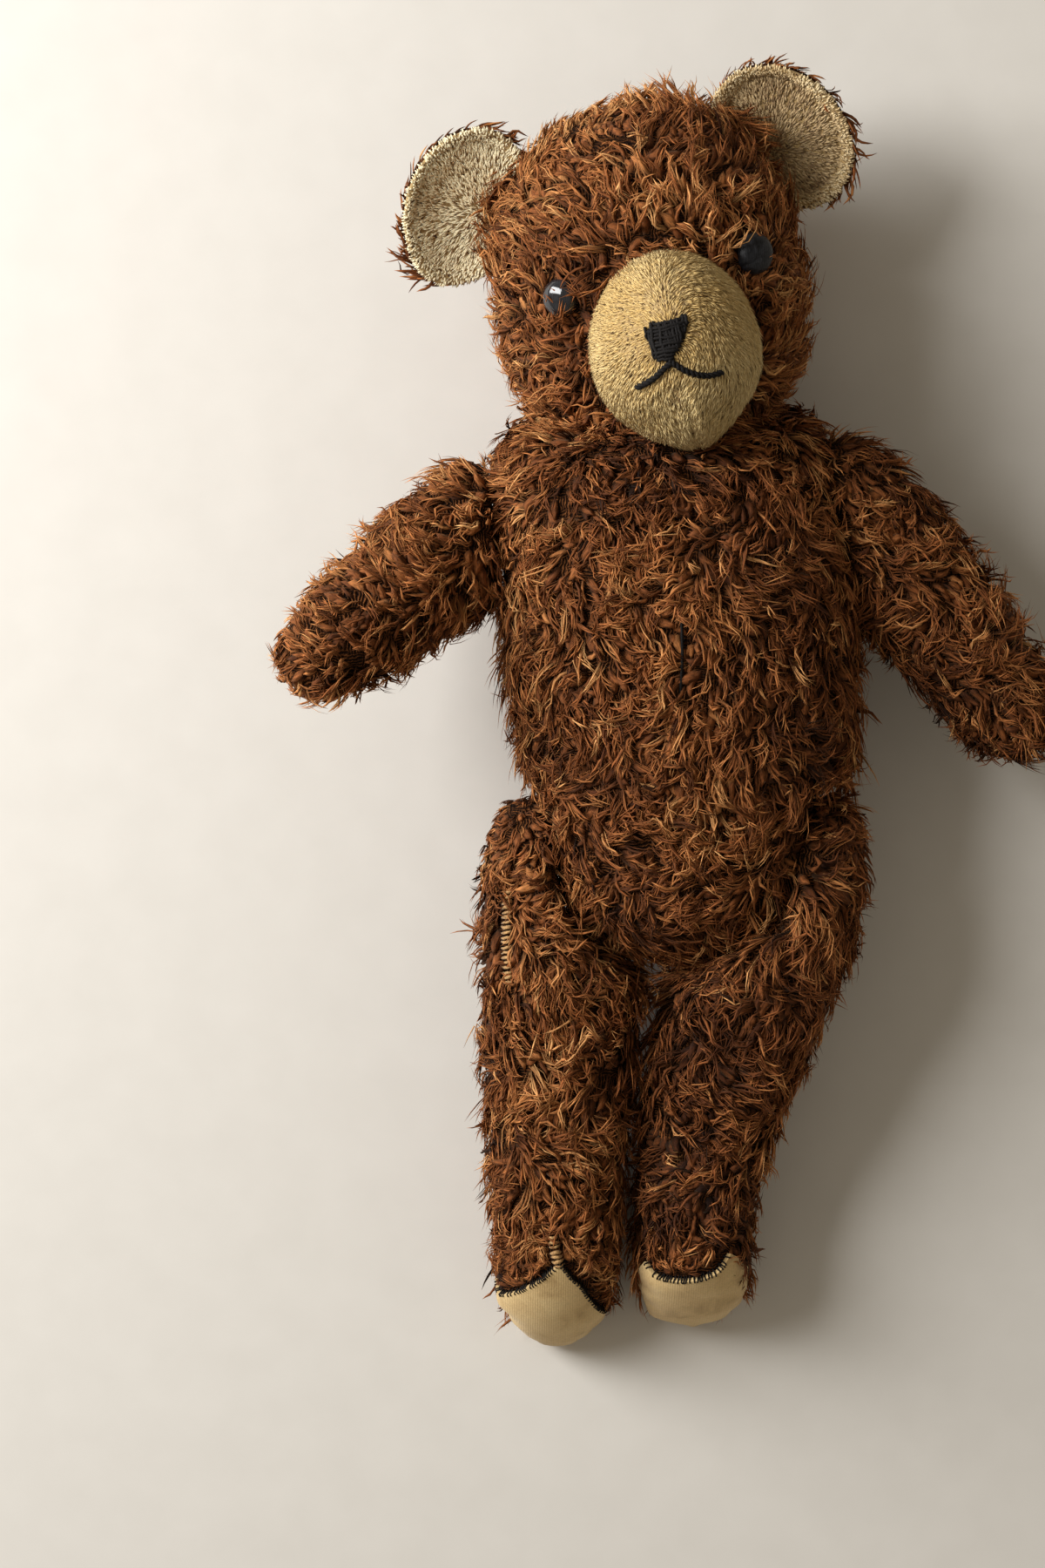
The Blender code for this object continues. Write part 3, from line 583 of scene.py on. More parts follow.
muzzle = dome("muzzle_plush", (96, 48), -0.45)
for vert in muzzle.data.vertices:
    x, y, z = vert.co
    around, girth = math.atan2(y, x), math.hypot(x, y)
    swell = 0.065 * math.exp(-(((around - CHIN) / 0.24) ** 2))
    hollows = [0.035 * math.exp(-(((around - jowl) / 0.33) ** 2)) for jowl in JOWLS]
    swell -= hollows[0] + hollows[1]
    x *= 1.0 - 0.05 * y
    dart = 0.030 * math.exp(-((x / 0.05) ** 2)) * min(1.0, max(0.0, (-y - 0.05) / 0.3))
    vert.co = Vector((x, y, z)) * (1.0 + swell * girth - dart)
    vert.co = HEAD @ (MUZZLE_MIDDLE + Vector(c * r for c, r in zip(vert.co, MUZZLE_RADII)))
muzzle.data.update()
muzzle.data.shade_smooth()
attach(muzzle, "head")
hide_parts("muzzle_cover")
muzzle_tree = BVHTree.FromObject(muzzle, bpy.context.evaluated_depsgraph_get())
face_out = (HEAD.to_3x3() @ Vector((0, 0, 1))).normalized()


def on_muzzle(x, y, lift=0.0):
    """The point of the muzzle in front of a place in the head's frame."""
    start = HEAD @ Vector((x, y, 0.12))
    spot, normal, _, _ = muzzle_tree.ray_cast(start, -face_out)
    return spot + normal * lift


plush_ground, tree, shader = shaded("plush_backing", 0.9, 0.1)
grain = pattern(tree, "Noise", Scale=1300.0, Detail=4.0, Distortion=1.0)
specks = pattern(tree, "Noise", Scale=900.0, Detail=2.0)
dirt = pattern(tree, "Noise", Scale=70.0, Detail=3.0)
cream = ramp(
    tree, grain,
    (0.30, (0.300, 0.180, 0.065)), (0.55, (0.480, 0.330, 0.140)), (0.75, (0.600, 0.440, 0.205)),
)
soiled = ramp(tree, dirt, (0.35, (0.80, 0.76, 0.70)), (0.60, (1.0, 1.0, 1.0)))
dots = ramp(tree, specks, (0.0, (1.0,) * 3), (0.56, (1.0,) * 3), (0.64, (0.14, 0.08, 0.04)))
colour = mixed(tree, "MULTIPLY", 1.0, mixed(tree, "MULTIPLY", 1.0, cream, soiled), dots)
tree.links.new(colour, shader.inputs["Base Color"])
bumped(tree, shader, grain, 0.7, 0.0006)
muzzle.data.materials.append(plush_ground)

# ---------------------------------------------------------------- nose and mouth
# The nose is a shield of waxed cotton, worked down and then across, so its edges are
# ragged. The mouth is two long stitches of a thick laid cord that cross below it.
NOSE_EDGE = (
    (-0.0062, -0.0028), (-0.0030, -0.0008), (0.0002, -0.0014), (0.0068, -0.0012), (0.0054, -0.0045),
    (0.0040, -0.0068), (0.0022, -0.0090), (-0.0008, -0.0112), (-0.0052, -0.0106), (-0.0048, -0.0078),
    (-0.0056, -0.0048),
)
NOSE_THREAD = 0.00058
MOUTH_RUNS = (
    (
        (-0.0118, -0.0186), (-0.0090, -0.0172), (-0.0060, -0.0158), (-0.0030, -0.0134),
        (0.0004, -0.0116),
    ),
    (
        (-0.0014, -0.0108), (0.0010, -0.0134), (0.0040, -0.0160), (0.0078, -0.0180),
        (0.0112, -0.0188), (0.0140, -0.0186),
    ),
)
MOUTH_PLY = 0.00062
rng = np.random.default_rng(23)


def crossings(edge, level, axis):
    """Where a line at a level of one axis crosses a closed edge, along the other axis."""
    found = []
    for a, b in zip(edge, edge[1:] + edge[:1]):
        if (a[axis] - level) * (b[axis] - level) < 0:
            part = (level - a[axis]) / (b[axis] - a[axis])
            found.append(a[1 - axis] + part * (b[1 - axis] - a[1 - axis]))
    return sorted(found)


stitches, radii = [], []
for axis, pitch, lift in ((0, 0.00085, 0.0007), (1, 0.00095, 0.0007)):
    levels = [p[axis] for p in NOSE_EDGE]
    for level in np.arange(min(levels) + pitch * 0.5, max(levels), pitch):
        ends = crossings(NOSE_EDGE, level, axis)
        if len(ends) < 2 or ends[-1] - ends[0] < 0.001:
            continue
        first = ends[0] - rng.uniform(0, 0.0008)
        last = ends[-1] + rng.uniform(0, 0.0009) * (2 if axis == 0 else 1)
        over = lift + rng.normal(0, 0.00022)
        path = []
        for part in np.linspace(0, 1, 9):
            away = first + (last - first) * part
            stray = level + rng.normal(0, 0.00012)
            x, y = (stray, away) if axis == 0 else (away, stray)
            height = over + 0.0004 * math.sin(math.pi * part) - (0.0012 if part in (0, 1) else 0)
            path.append(on_muzzle(x, y, height))
        stitches.append(path)
        radii.append(NOSE_THREAD * rng.uniform(0.85, 1.1))
nose = cords("nose_satin_stitches", stitches, radii)
nose.data.materials.append(thread)
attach(nose, "head")
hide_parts("nose_stitching")


def lengths_along(line):
    """How far along a run of points each one is."""
    return np.concatenate([[0], np.cumsum(np.linalg.norm(np.diff(line, axis=0), axis=1))])


plies, radii = [], []
for run in MOUTH_RUNS:
    line = np.array(run)
    far = lengths_along(line)
    steps = np.linspace(0, far[-1], 40)
    smooth = [np.interp(steps, far, line[:, i]) for i in (0, 1)]
    smooth = [np.convolve(np.pad(s, 4, mode="edge"), np.ones(9) / 9, mode="valid") for s in smooth]
    for ply in (0, math.pi):
        path = []
        for k, (x, y, at) in enumerate(zip(*smooth, steps)):
            turn = at / 0.0030 * 2 * math.pi + ply
            sink = 0.0010 if k in (0, 39) else 0.0
            way = (np.gradient(smooth[0])[k], np.gradient(smooth[1])[k])
            size = math.hypot(*way)
            shift = MOUTH_PLY * 0.75 * math.cos(turn)
            path.append(on_muzzle(x - way[1] / size * shift, y + way[0] / size * shift,
                                  0.0009 + MOUTH_PLY * 0.75 * math.sin(turn) - sink))
        plies.append(path)
        radii.append(MOUTH_PLY)
mouth = cords("mouth_cord", plies, radii)
mouth.data.materials.append(thread)
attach(mouth, "head")
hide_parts("mouth_stitching")

# ---------------------------------------------------------------- eyes
# Two black buttons with a turned rim, each on a wire shank through the face. The right
# one is still bright and half hidden by pile; the left one is scratched dull.
EYE_RADIUS, EYE_HEIGHT = 0.0061, 0.0044
# Times the radius, depth of the turned rim, roughness, coat, hazed tone, depth of scratches.
EYE_LOOKS = {
    "right_eye": (1.00, 0.00, 0.10, 0.4, (0.020, 0.020, 0.024), 0.05),
    "left_eye": (1.06, 0.05, 0.45, 0.0, (0.030, 0.031, 0.036), 0.2),
}
eyes = {name: thin_axis(name) for name in EYE_LOOKS}
for name, (size, turned_rim, roughness, coat, bloom, scratched) in EYE_LOOKS.items():
    middle, out = eyes[name]
    out = out if out.dot(face_out) > 0 else -out
    back = min((Vector(v.co) - middle).dot(out) for v in nodes[name].data.vertices)
    place = Matrix.Translation(middle + out * (back - 0.0002))
    place = place @ out.to_track_quat("Z", "Y").to_matrix().to_4x4()
    eye = dome(f"{name}_button", (48, 32), 0)
    for vert in eye.data.vertices:
        x, y, z = vert.co
        girth = math.hypot(x, y)
        step = turned_rim * math.exp(-(((girth - 0.90) / 0.035) ** 2))
        high = (z**0.8 - step) * EYE_HEIGHT
        vert.co = place @ Vector((x * EYE_RADIUS * size, y * EYE_RADIUS * size, high))
    eye.data.update()
    face_outwards(eye)
    eye.data.shade_smooth()
    button, tree, shader = shaded(f"{name}_black", roughness)
    shader.inputs["Coat Weight"].default_value = coat
    shader.inputs["Coat Roughness"].default_value = 0.05
    shader.inputs["Specular IOR Level"].default_value = 0.5 if coat else 0.2
    haze = pattern(tree, "Noise", Scale=260.0, Detail=6.0, Distortion=1.5)
    scratches = pattern(tree, "Wave", Scale=500.0, Distortion=9.0, Detail=4.0)
    base = ramp(tree, haze, (0.35, (0.006, 0.006, 0.007)), (0.75, bloom))
    marks = ramp(tree, scratches, (0.0, (1.0,) * 3), (0.93, (1.0,) * 3), (1.0, (2.2,) * 3))
    tree.links.new(mixed(tree, "MULTIPLY", 1.0, base, marks), shader.inputs["Base Color"])
    bumped(tree, shader, scratches, scratched, 0.0001)
    eye.data.materials.append(button)
    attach(eye, "head")
    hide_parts(name)

# ---------------------------------------------------------------- ears
# Each ear is a cupped mohair back with a cream plush lining turned over its rim, sewn
# across the head. The linings are grey in the cup with handling, with painted shade inside the rim
# and painted light on the lip, and frayed at the rim.
EAR_PLACE = (0.0514, 0.0296, -0.0080)
EAR_RADII = (0.0258, 0.0208, 0.0112)
EAR_LEAN, EAR_CUP = math.radians(29), math.radians(14)
EAR_CLOTH = 0.0024  # the lining lies this far inside the back
EAR_WALLS = {"back": EAR_CLOTH - 0.0004, "lining": 0.0016}
LIP = 0.0012  # how far the lining's lip rolls out over the rim
LINING_DEPTH = 0.6  # of the ear's own depth
# Where brown fringe shows round an ear: the way from its middle, and how near to that way.
EAR_FRINGE = {
    "right": (((0.55, 0.83, 0), 0.72), ((-0.50, -0.87, 0), 0.88)),
    "left": (((0.97, -0.25, 0), 0.72),),
}
FRINGE_LIFT = {"right": 0.35, "left": 1.0}  # of the pile's own lift, where the fringe shows
ears, linings = {}, {}


def waves(points, size, seed):
    """Smooth values about -1 to 1 over space, that turn over within about size."""
    rng = np.random.default_rng(seed)
    total = np.zeros(len(points))
    for _ in range(6):
        way = rng.normal(size=3)
        way *= 2 * math.pi / (size * rng.uniform(0.8, 1.6) * np.linalg.norm(way))
        total += np.sin(points @ way + rng.uniform(0, 2 * math.pi))
    return total / 2.6


for side, sign in (("right", -1), ("left", 1)):
    outward = Vector((sign * math.cos(EAR_LEAN), math.sin(EAR_LEAN), 0))
    front = Vector((0, 0, 1)) * math.cos(EAR_CUP) - outward * math.sin(EAR_CUP)
    long = outward.cross(front).normalized()
    short = front.cross(long).normalized()
    turned = Matrix((long, short, front)).transposed().to_4x4()
    centre = Vector((sign * EAR_PLACE[0], EAR_PLACE[1], EAR_PLACE[2]))
    frame_of_ear = HEAD @ Matrix.Translation(centre) @ turned
    for part, inset in (("back", 0.0), ("lining", EAR_CLOTH)):
        name = f"{side}_ear_{'mohair' if part == 'back' else 'plush'}"
        shell = dome(name, (72, 36), 0, up=-1, closed=False)
        seed = 11 if side == "right" else 12
        spots = np.array([v.co for v in shell.data.vertices])
        wobble = waves(spots, 1.3, seed)
        for vert, sway in zip(shell.data.vertices, wobble):
            x, y, z = vert.co
            girth = math.hypot(x, y)
            rim = max(0.0, 1.0 + z / 0.35) if z > -0.35 else 0.0
            grow = 1.0 + 0.025 * sway * girth
            size = [r - inset for r in EAR_RADII]
            local = Vector((x * size[0] * grow, y * size[1] * grow, z * size[2]))
            if part == "lining":
                flat = Vector((local.x, local.y, 0)).normalized() if girth > 0.01 else Vector()
                local.z *= LINING_DEPTH
                local += flat * (LIP + EAR_CLOTH * 0.6) * rim ** 2 + Vector((0, 0, 0.0012 * rim))
            local.z += 0.0012 * sway * girth
            vert.co = frame_of_ear @ local
        modify(shell, "SOLIDIFY", thickness=EAR_WALLS[part], offset=-1.0)
        face_outwards(shell)
        modify(shell, "SUBSURF", levels=1, render_levels=1)
        shell.data.shade_smooth()
        shell.data.materials.append(undercoat if part == "back" else plush_ground)
        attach(shell, "head")
        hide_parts(f"{side}_ear_{part}")
        (ears if part == "back" else linings)[side] = (shell, frame_of_ear)

# ---------------------------------------------------------------- pile
# Curly mohair has matted into locks: pointed, slightly flat tufts about a centimetre
# long that lie over one another, with finer strands beside them. Wide flat tufts make
# the mat below. The pile is rubbed short along the seams and where the bear was held.
MATS, LOCKS, STRANDS = 105e3, 105e3, 300e3  # on a square metre of full pile
FLECK = 0.012  # how much of the tone scale one tuft spans
SWIRL = 0.030  # size of the swirls that the nap has been rubbed into
PRESSED = 0.0040  # depth over which pile that would reach the ground is pressed flat
SLIT = 0.0009  # half the width of the parting over the body's seam
THREAD_REACH = 0.0017  # how far the opened seams' threads show to each side
# Where the seams' stitches show, seen from above.
SEAM_RUNS = {
    "torso": ("torso", ((0.0010, 0.0306), (0.0013, 0.0190), (0.0008, 0.0065))),
    "thigh": ("right_leg", ((-0.0523, -0.0544), (-0.0527, -0.0700), (-0.0523, -0.0844))),
    "foot": ("right_leg", ((-0.0381, -0.1651), (-0.0361, -0.1745))),
}
MOST_TUFTS = 8500  # strands in one piece
GOLDEN = 0.05  # share of the locks that the sun has turned golden
RUFF = 0.0075  # this near to the muzzle the pile stands up and laps over its edge
PAINTED_LIGHT_PALER = {"head": 0.11, "right_arm": 0.07}  # how much paler their pile is painted: painted light where the light falls strongest
LIT_CHEEK_SPOT = (-0.041, 0.110, 0.100), 0.022  # a pool of painted light on the right cheek, and how far round it
GLINT_SPOT = (-0.0070, 0.1465, 0.110), 0.012  # a spot of painted highlight on the tips above the muzzle, and how far round it
BESIDE_EAR = 0.0080  # this near to an ear the pile leans over its inner edge
PILE_EDGE = 0.0004  # the pile starts this far from a sole's felt
FLAT_REACH = JOINT_REACH - 0.006  # no pile grows this near to a joint's middle


def scatter(skin, density, share, rng):
    """Places on a skin, so many a square metre where share is 1: (points, normals)."""
    mesh = skin.data
    mesh.calc_loop_triangles()
    corners = np.zeros(len(mesh.vertices) * 3)
    mesh.vertices.foreach_get("co", corners)
    corners = corners.reshape(-1, 3)
    normals = np.array([v.vector for v in mesh.vertex_normals])
    triangles = np.zeros(len(mesh.loop_triangles) * 3, np.int32)
    mesh.loop_triangles.foreach_get("vertices", triangles)
    triangles = triangles.reshape(-1, 3)
    a, b, c = (corners[triangles[:, i]] for i in range(3))
    area = np.linalg.norm(np.cross(b - a, c - a), axis=1) / 2
    flat = unit(np.cross(b - a, c - a))
    wanted = area * np.clip(share((a + b + c) / 3, flat), 0, None)
    count = int(wanted.sum() * density)
    pick = rng.choice(len(triangles), count, p=wanted / wanted.sum())
    r, s = np.sqrt(rng.random(count)), rng.random(count)
    weights = np.stack([1 - r, r * (1 - s), r * s], axis=1)[:, :, None]
    points = (corners[triangles[pick]] * weights).sum(axis=1)
    return points, unit((normals[triangles[pick]] * weights).sum(axis=1))


def tufts(name, points, normals, nap, look, rings, flatness, rng, sunk=0.0007):
    """One piece of closed, pointed, three-sided tufts.

    look holds, for each tuft, its length, width, lift (first and last angle off the
    cloth), curl and kink (turn along the cloth), spread (shift of its root) and tone
    (place across the map, from 0 dark to 1 golden). Roots lie that far sunk in the cloth.
    """
    count = len(points)
    along = unit(nap - normals * (nap * normals).sum(axis=1, keepdims=True))
    beside = np.cross(normals, along)
    spine = [points - normals * sunk]
    ways = []
    for step in range(rings):
        part = (step + 0.5) / rings
        turn = look["curl"] * part**1.3 + look["kink"] * math.sin(2 * math.pi * part)
        rise = look["lift"][0] + (look["lift"][1] - look["lift"][0]) * part**0.8
        flat = along * np.cos(turn)[:, None] + beside * np.sin(turn)[:, None]
        way = flat * np.cos(rise)[:, None] + normals * np.sin(rise)[:, None]
        ways.append(way)
        spine.append(spine[-1] + way * (look["length"] / rings)[:, None])
    if "spread" in look:
        spine = [s + look["spread"] * (1 - 0.8 * k / rings) for k, s in enumerate(spine)]
    lean = rng.normal(0, 0.5, count)[:, None]
    verts = np.zeros((count, 3 * rings + 1, 3))
    for ring in range(rings):
        way = ways[ring]
        side = unit(np.cross(way, normals))
        top = np.cross(side, way)
        side, top = side * np.cos(lean) + top * np.sin(lean), top * np.cos(lean) - side * np.sin(lean)
        fullness = math.sin(math.pi * (0.22 + 0.78 * ring / rings)) ** 0.7
        wide = (look["width"] * fullness / 2)[:, None]
        verts[:, 3 * ring] = spine[ring] - side * wide
        verts[:, 3 * ring + 1] = spine[ring] + side * wide
        verts[:, 3 * ring + 2] = spine[ring] + top * wide * 2 * flatness
    verts[:, -1] = spine[-1]
    sunken = np.minimum(verts[:, :, 2] - BACK_LIFT, 0)
    verts[:, :, 2] = np.where(sunken < 0, BACK_LIFT * np.exp(sunken / PRESSED), verts[:, :, 2])

    faces, places = [(0, 2, 1)], [((0.1, 0.0), (0.5, 0.03), (0.9, 0.0))]
    for ring in range(rings - 1):
        low, high = (ring + 0.1) / rings, (ring + 1.1) / rings
        for k in range(3):
            a, b = 3 * ring + k, 3 * ring + (k + 1) % 3
            u, v = k / 3, (k + 1) / 3
            faces += [(a, b, b + 3), (a, b + 3, a + 3)]
            places += [((u, low), (v, low), (v, high)), ((u, low), (v, high), (u, high))]
    for k in range(3):
        a, b = 3 * (rings - 1) + k, 3 * (rings - 1) + (k + 1) % 3
        faces.append((a, b, 3 * rings))
        low = 1 - 0.9 / rings
        places.append(((k / 3, low), ((k + 1) / 3, low), ((k + 0.5) / 3, 1.0)))
    faces, places = np.array(faces), np.array(places)
    corners = (np.arange(count)[:, None, None] * (3 * rings + 1) + faces[None]).reshape(-1)
    start = np.clip(look["tone"], 0.0, 1.0) * (1 - FLECK)
    across = start[:, None, None] + places[None, :, :, 0] * FLECK
    down = np.broadcast_to(places[None, :, :, 1], across.shape) * 0.98 + 0.01
    on_map = np.stack([across, down], axis=-1).reshape(-1).astype(np.float32)

    mesh = bpy.data.meshes.new(name)
    mesh.vertices.add(count * (3 * rings + 1))
    mesh.vertices.foreach_set("co", verts.reshape(-1).astype(np.float32))
    mesh.loops.add(len(corners))
    mesh.loops.foreach_set("vertex_index", corners.astype(np.int32))
    mesh.polygons.add(len(corners) // 3)
    mesh.polygons.foreach_set("loop_start", np.arange(0, len(corners), 3, dtype=np.int32))
    mesh.update(calc_edges=True)
    for label in ("OFBake", "tuft"):
        mesh.uv_layers.new(name=label).data.foreach_set("uv", on_map)
    mesh.shade_smooth()
    made = bpy.data.objects.new(name, mesh)
    bpy.context.scene.collection.objects.link(made)
    return made


def pile_material(name, tones, root, tip, streaks, contrast, tint):
    """A tuft's finish: its tone across the map, painted shade at the root and painted light at the
    tip up it, fibres along it.
    """
    made, tree, shader = shaded(name, 0.75, 0.05)
    shader.inputs["Sheen Tint"].default_value = (*tint, 1.0)
    shader.inputs["Specular IOR Level"].default_value = 0.14
    on_tuft = node(tree, "ShaderNodeUVMap", uv_map="tuft").outputs["UV"]
    split = node(tree, "ShaderNodeSeparateXYZ")
    tree.links.new(on_tuft, split.inputs["Vector"])
    base = ramp(tree, split.outputs["X"], *tones)
    # Painted shade and light: each tuft is darkened towards its root and lightened towards its tip,
    # for the shade deep in the pile and the light on its tips.
    shade = ramp(tree, split.outputs["Y"], (0.0, (root,) * 3), (0.5, (1.0,) * 3), (1.0, (tip,) * 3))
    stretch = node(tree, "ShaderNodeMapping", Scale=(streaks / FLECK, 4.0, 1.0))
    tree.links.new(on_tuft, stretch.inputs["Vector"])
    noise = node(tree, "ShaderNodeTexNoise", Scale=1.0, Detail=2.0)
    tree.links.new(stretch.outputs["Vector"], noise.inputs["Vector"])
    fibre = noise.outputs["Fac"]
    dim, bright = 1 - 0.55 * contrast, 1 + 0.4 * contrast
    streak = ramp(tree, fibre, (0.32, (dim,) * 3), (0.55, (1.0,) * 3), (0.72, (bright,) * 3))
    colour = mixed(tree, "MULTIPLY", 1.0, mixed(tree, "MULTIPLY", 1.0, base, shade), streak)
    colour.node.clamp_result = True
    tree.links.new(colour, shader.inputs["Base Color"])
    bumped(tree, shader, fibre, 0.5 * contrast, 0.0008)
    return made


MOHAIR_TONES = (
    (0.0, (0.014, 0.004, 0.0015)),
    (0.2, (0.090, 0.026, 0.0075)),
    (0.5, (0.275, 0.089, 0.025)),
    (0.72, (0.470, 0.188, 0.058)),
    (1.0, (0.720, 0.380, 0.145)),
)
mohair = pile_material("curly_mohair", MOHAIR_TONES, 0.10, 1.5, 3.0, 1.0, (1.0, 0.68, 0.40))
matted = pile_material("matted_mohair", MOHAIR_TONES, 0.12, 1.1, 8.0, 1.0, (1.0, 0.68, 0.40))

NAPS = {"torso": (0, -1, 0.05), "right_leg": (0, -1, 0), "left_leg": (0.1, -1, 0)}
for form in ("right_arm", "left_arm"):
    low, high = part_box(f"{form}_cover")
    NAPS[form] = (low + high) / 2 - joints_of[form][0][0]
CROWN = HEAD @ Vector((0.016, 0.052, 0.0)), 0.022  # where the pile stands up, and how far round
muzzle_middle = np.array(HEAD @ MUZZLE_MIDDLE)


def nap_of(form, points):
    """Which way the pile of a form was brushed: down the limbs, and away from the muzzle."""
    if form == "head":
        return unit(points - muzzle_middle) + np.array((0, 0.25, 0))
    return np.tile(unit(np.array(NAPS[form], float)), (len(points), 1))


TIPS = {f: 2 * Vector(NAPS[f]) + joints_of[f][0][0] for f in ("right_arm", "left_arm")}
# Where the pile is longer or shorter: a place, how far round it, and times the length.
PILE_SPOTS = {
    "torso": (
        ((0.062, -0.004, 0.045), 0.024, 1.60),
        ((-0.054, 0.012, 0.050), 0.024, 1.30),
        ((-0.053, 0.092, 0.050), 0.012, 0.60),
        ((-0.004, -0.074, 0.050), 0.013, 1.60),
        ((0.034, -0.060, 0.065), 0.014, 1.40),
    ),
    "head": (
        (HEAD @ Vector((-0.012, 0.050, 0.005)), 0.024, 0.50),
        (HEAD @ Vector((-0.047, -0.030, 0.000)), 0.022, 1.20),
        ((0.044, 0.150, 0.040), 0.016, 1.35),
        ((0.0245, 0.197, 0.050), 0.012, 1.50),
    ),
    "right_arm": (
        (TIPS["right_arm"], 0.020, 0.40),
        ((-0.053, 0.092, 0.050), 0.012, 0.60),
        ((-0.105, 0.000, 0.040), 0.014, 1.40),
    ),
    "left_arm": (((0.110, 0.039, 0.045), 0.028, 1.30), ((0.105, -0.012, 0.040), 0.018, 1.20)),
    "right_leg": (
        ((-0.056, -0.028, 0.045), 0.016, 0.30),
        ((-0.004, -0.085, 0.040), 0.020, 1.40),
        ((-0.060, -0.120, 0.030), 0.050, 1.10),
    ),
    "left_leg": (
        ((0.062, -0.034, 0.045), 0.014, 0.60),
        ((0.006, -0.085, 0.040), 0.020, 1.40),
        ((0.036, -0.060, 0.065), 0.014, 1.40),
    ),
}


def near_to(points, place, reach):
    """1 at a place, fading to nothing past its reach."""
    return np.exp(-((np.linalg.norm(points - np.array(place), axis=1) / reach) ** 2))


def growth_of(form, points):
    """How long the pile is at each place, as times its full length."""
    grown = np.ones(len(points))
    for place, reach, times in PILE_SPOTS[form]:
        grown *= 1 + (times - 1) * near_to(points, place, reach)
    return grown


# Where painted shade darkens the pile between the legs: a place, how far round it, and by how much of
# the scale.
PAINTED_SHADE_SPOTS = {
    "right_leg": (((0.000, -0.110, 0.045), 0.022, 0.16),),
    "left_leg": (((0.012, -0.105, 0.050), 0.022, 0.16), ((0.002, -0.140, 0.040), 0.022, 0.12)),
}


def painted_shade_of(form, points):
    """How much darker the pile is painted at each place, as shade between the legs."""
    dark = np.zeros(len(points))
    for place, reach, amount in PAINTED_SHADE_SPOTS.get(form, ()):
        dark += amount * near_to(points, place, reach)
    return dark


def wear_of(points):
    """How far the pile is rubbed away, from 0 to 1."""
    return np.clip(waves(points, 0.06, 71) * 0.5 - 0.3, 0, 0.2)


def beside_tree(tree, points, reach):
    """1 on a surface, fading to nothing past its reach."""
    gap = np.array([tree.find_nearest(Vector(p))[3] for p in points])
    return np.exp(-((gap / reach) ** 2))


def over_seam(name, points, reach):
    """Which points lie this near to a seam's stitches, seen from above."""
    line = np.array(SEAM_RUNS[name][1])
    at = np.interp(-points[:, 1], -line[:, 1], line[:, 0])
    along = (points[:, 1] < line[0, 1]) & (points[:, 1] > line[-1, 1])
    return (np.abs(points[:, 0] - at) < reach) & along


def share_of(form):
    """How much of the full pile grows at each place of a form."""

    def share(points, normals):
        amount = 1.0 - wear_of(points)
        amount *= np.where(normals[:, 2] < -0.6, 0.8, 1.0)  # rubbed where the bear lies
        for point, away in joints_of[form]:
            off = points - np.array(point)
            flat = (off @ np.array(away) > -0.0012) & (normals @ np.array(away) > 0.8)
            amount *= np.where(flat & (np.linalg.norm(off, axis=1) < FLAT_REACH), 0.0, 1.0)
        if form == "head":
            for name, (middle, _) in eyes.items():
                gap = np.linalg.norm(points - np.array(middle), axis=1)
                amount *= gap > EYE_RADIUS * (0.85 if name == "right_eye" else 1.1)
            behind = [muzzle_tree.ray_cast(Vector(p), face_out)[0] is not None for p in points]
            inside = np.array(behind) & (normals @ np.array(face_out) > 0)
            amount *= np.where(inside, 0.0, 1 + 0.6 * beside_tree(muzzle_tree, points, RUFF))
        if form in soles:
            amount *= ~under_pad(form, points, PILE_EDGE)
        if form == "torso":
            amount *= ~over_seam("torso", points, SLIT)
        if form == "right_leg":
            for name in ("thigh", "foot"):
                amount *= ~(over_seam(name, points, THREAD_REACH) & (points[:, 2] > 0.03))
        return amount

    return share


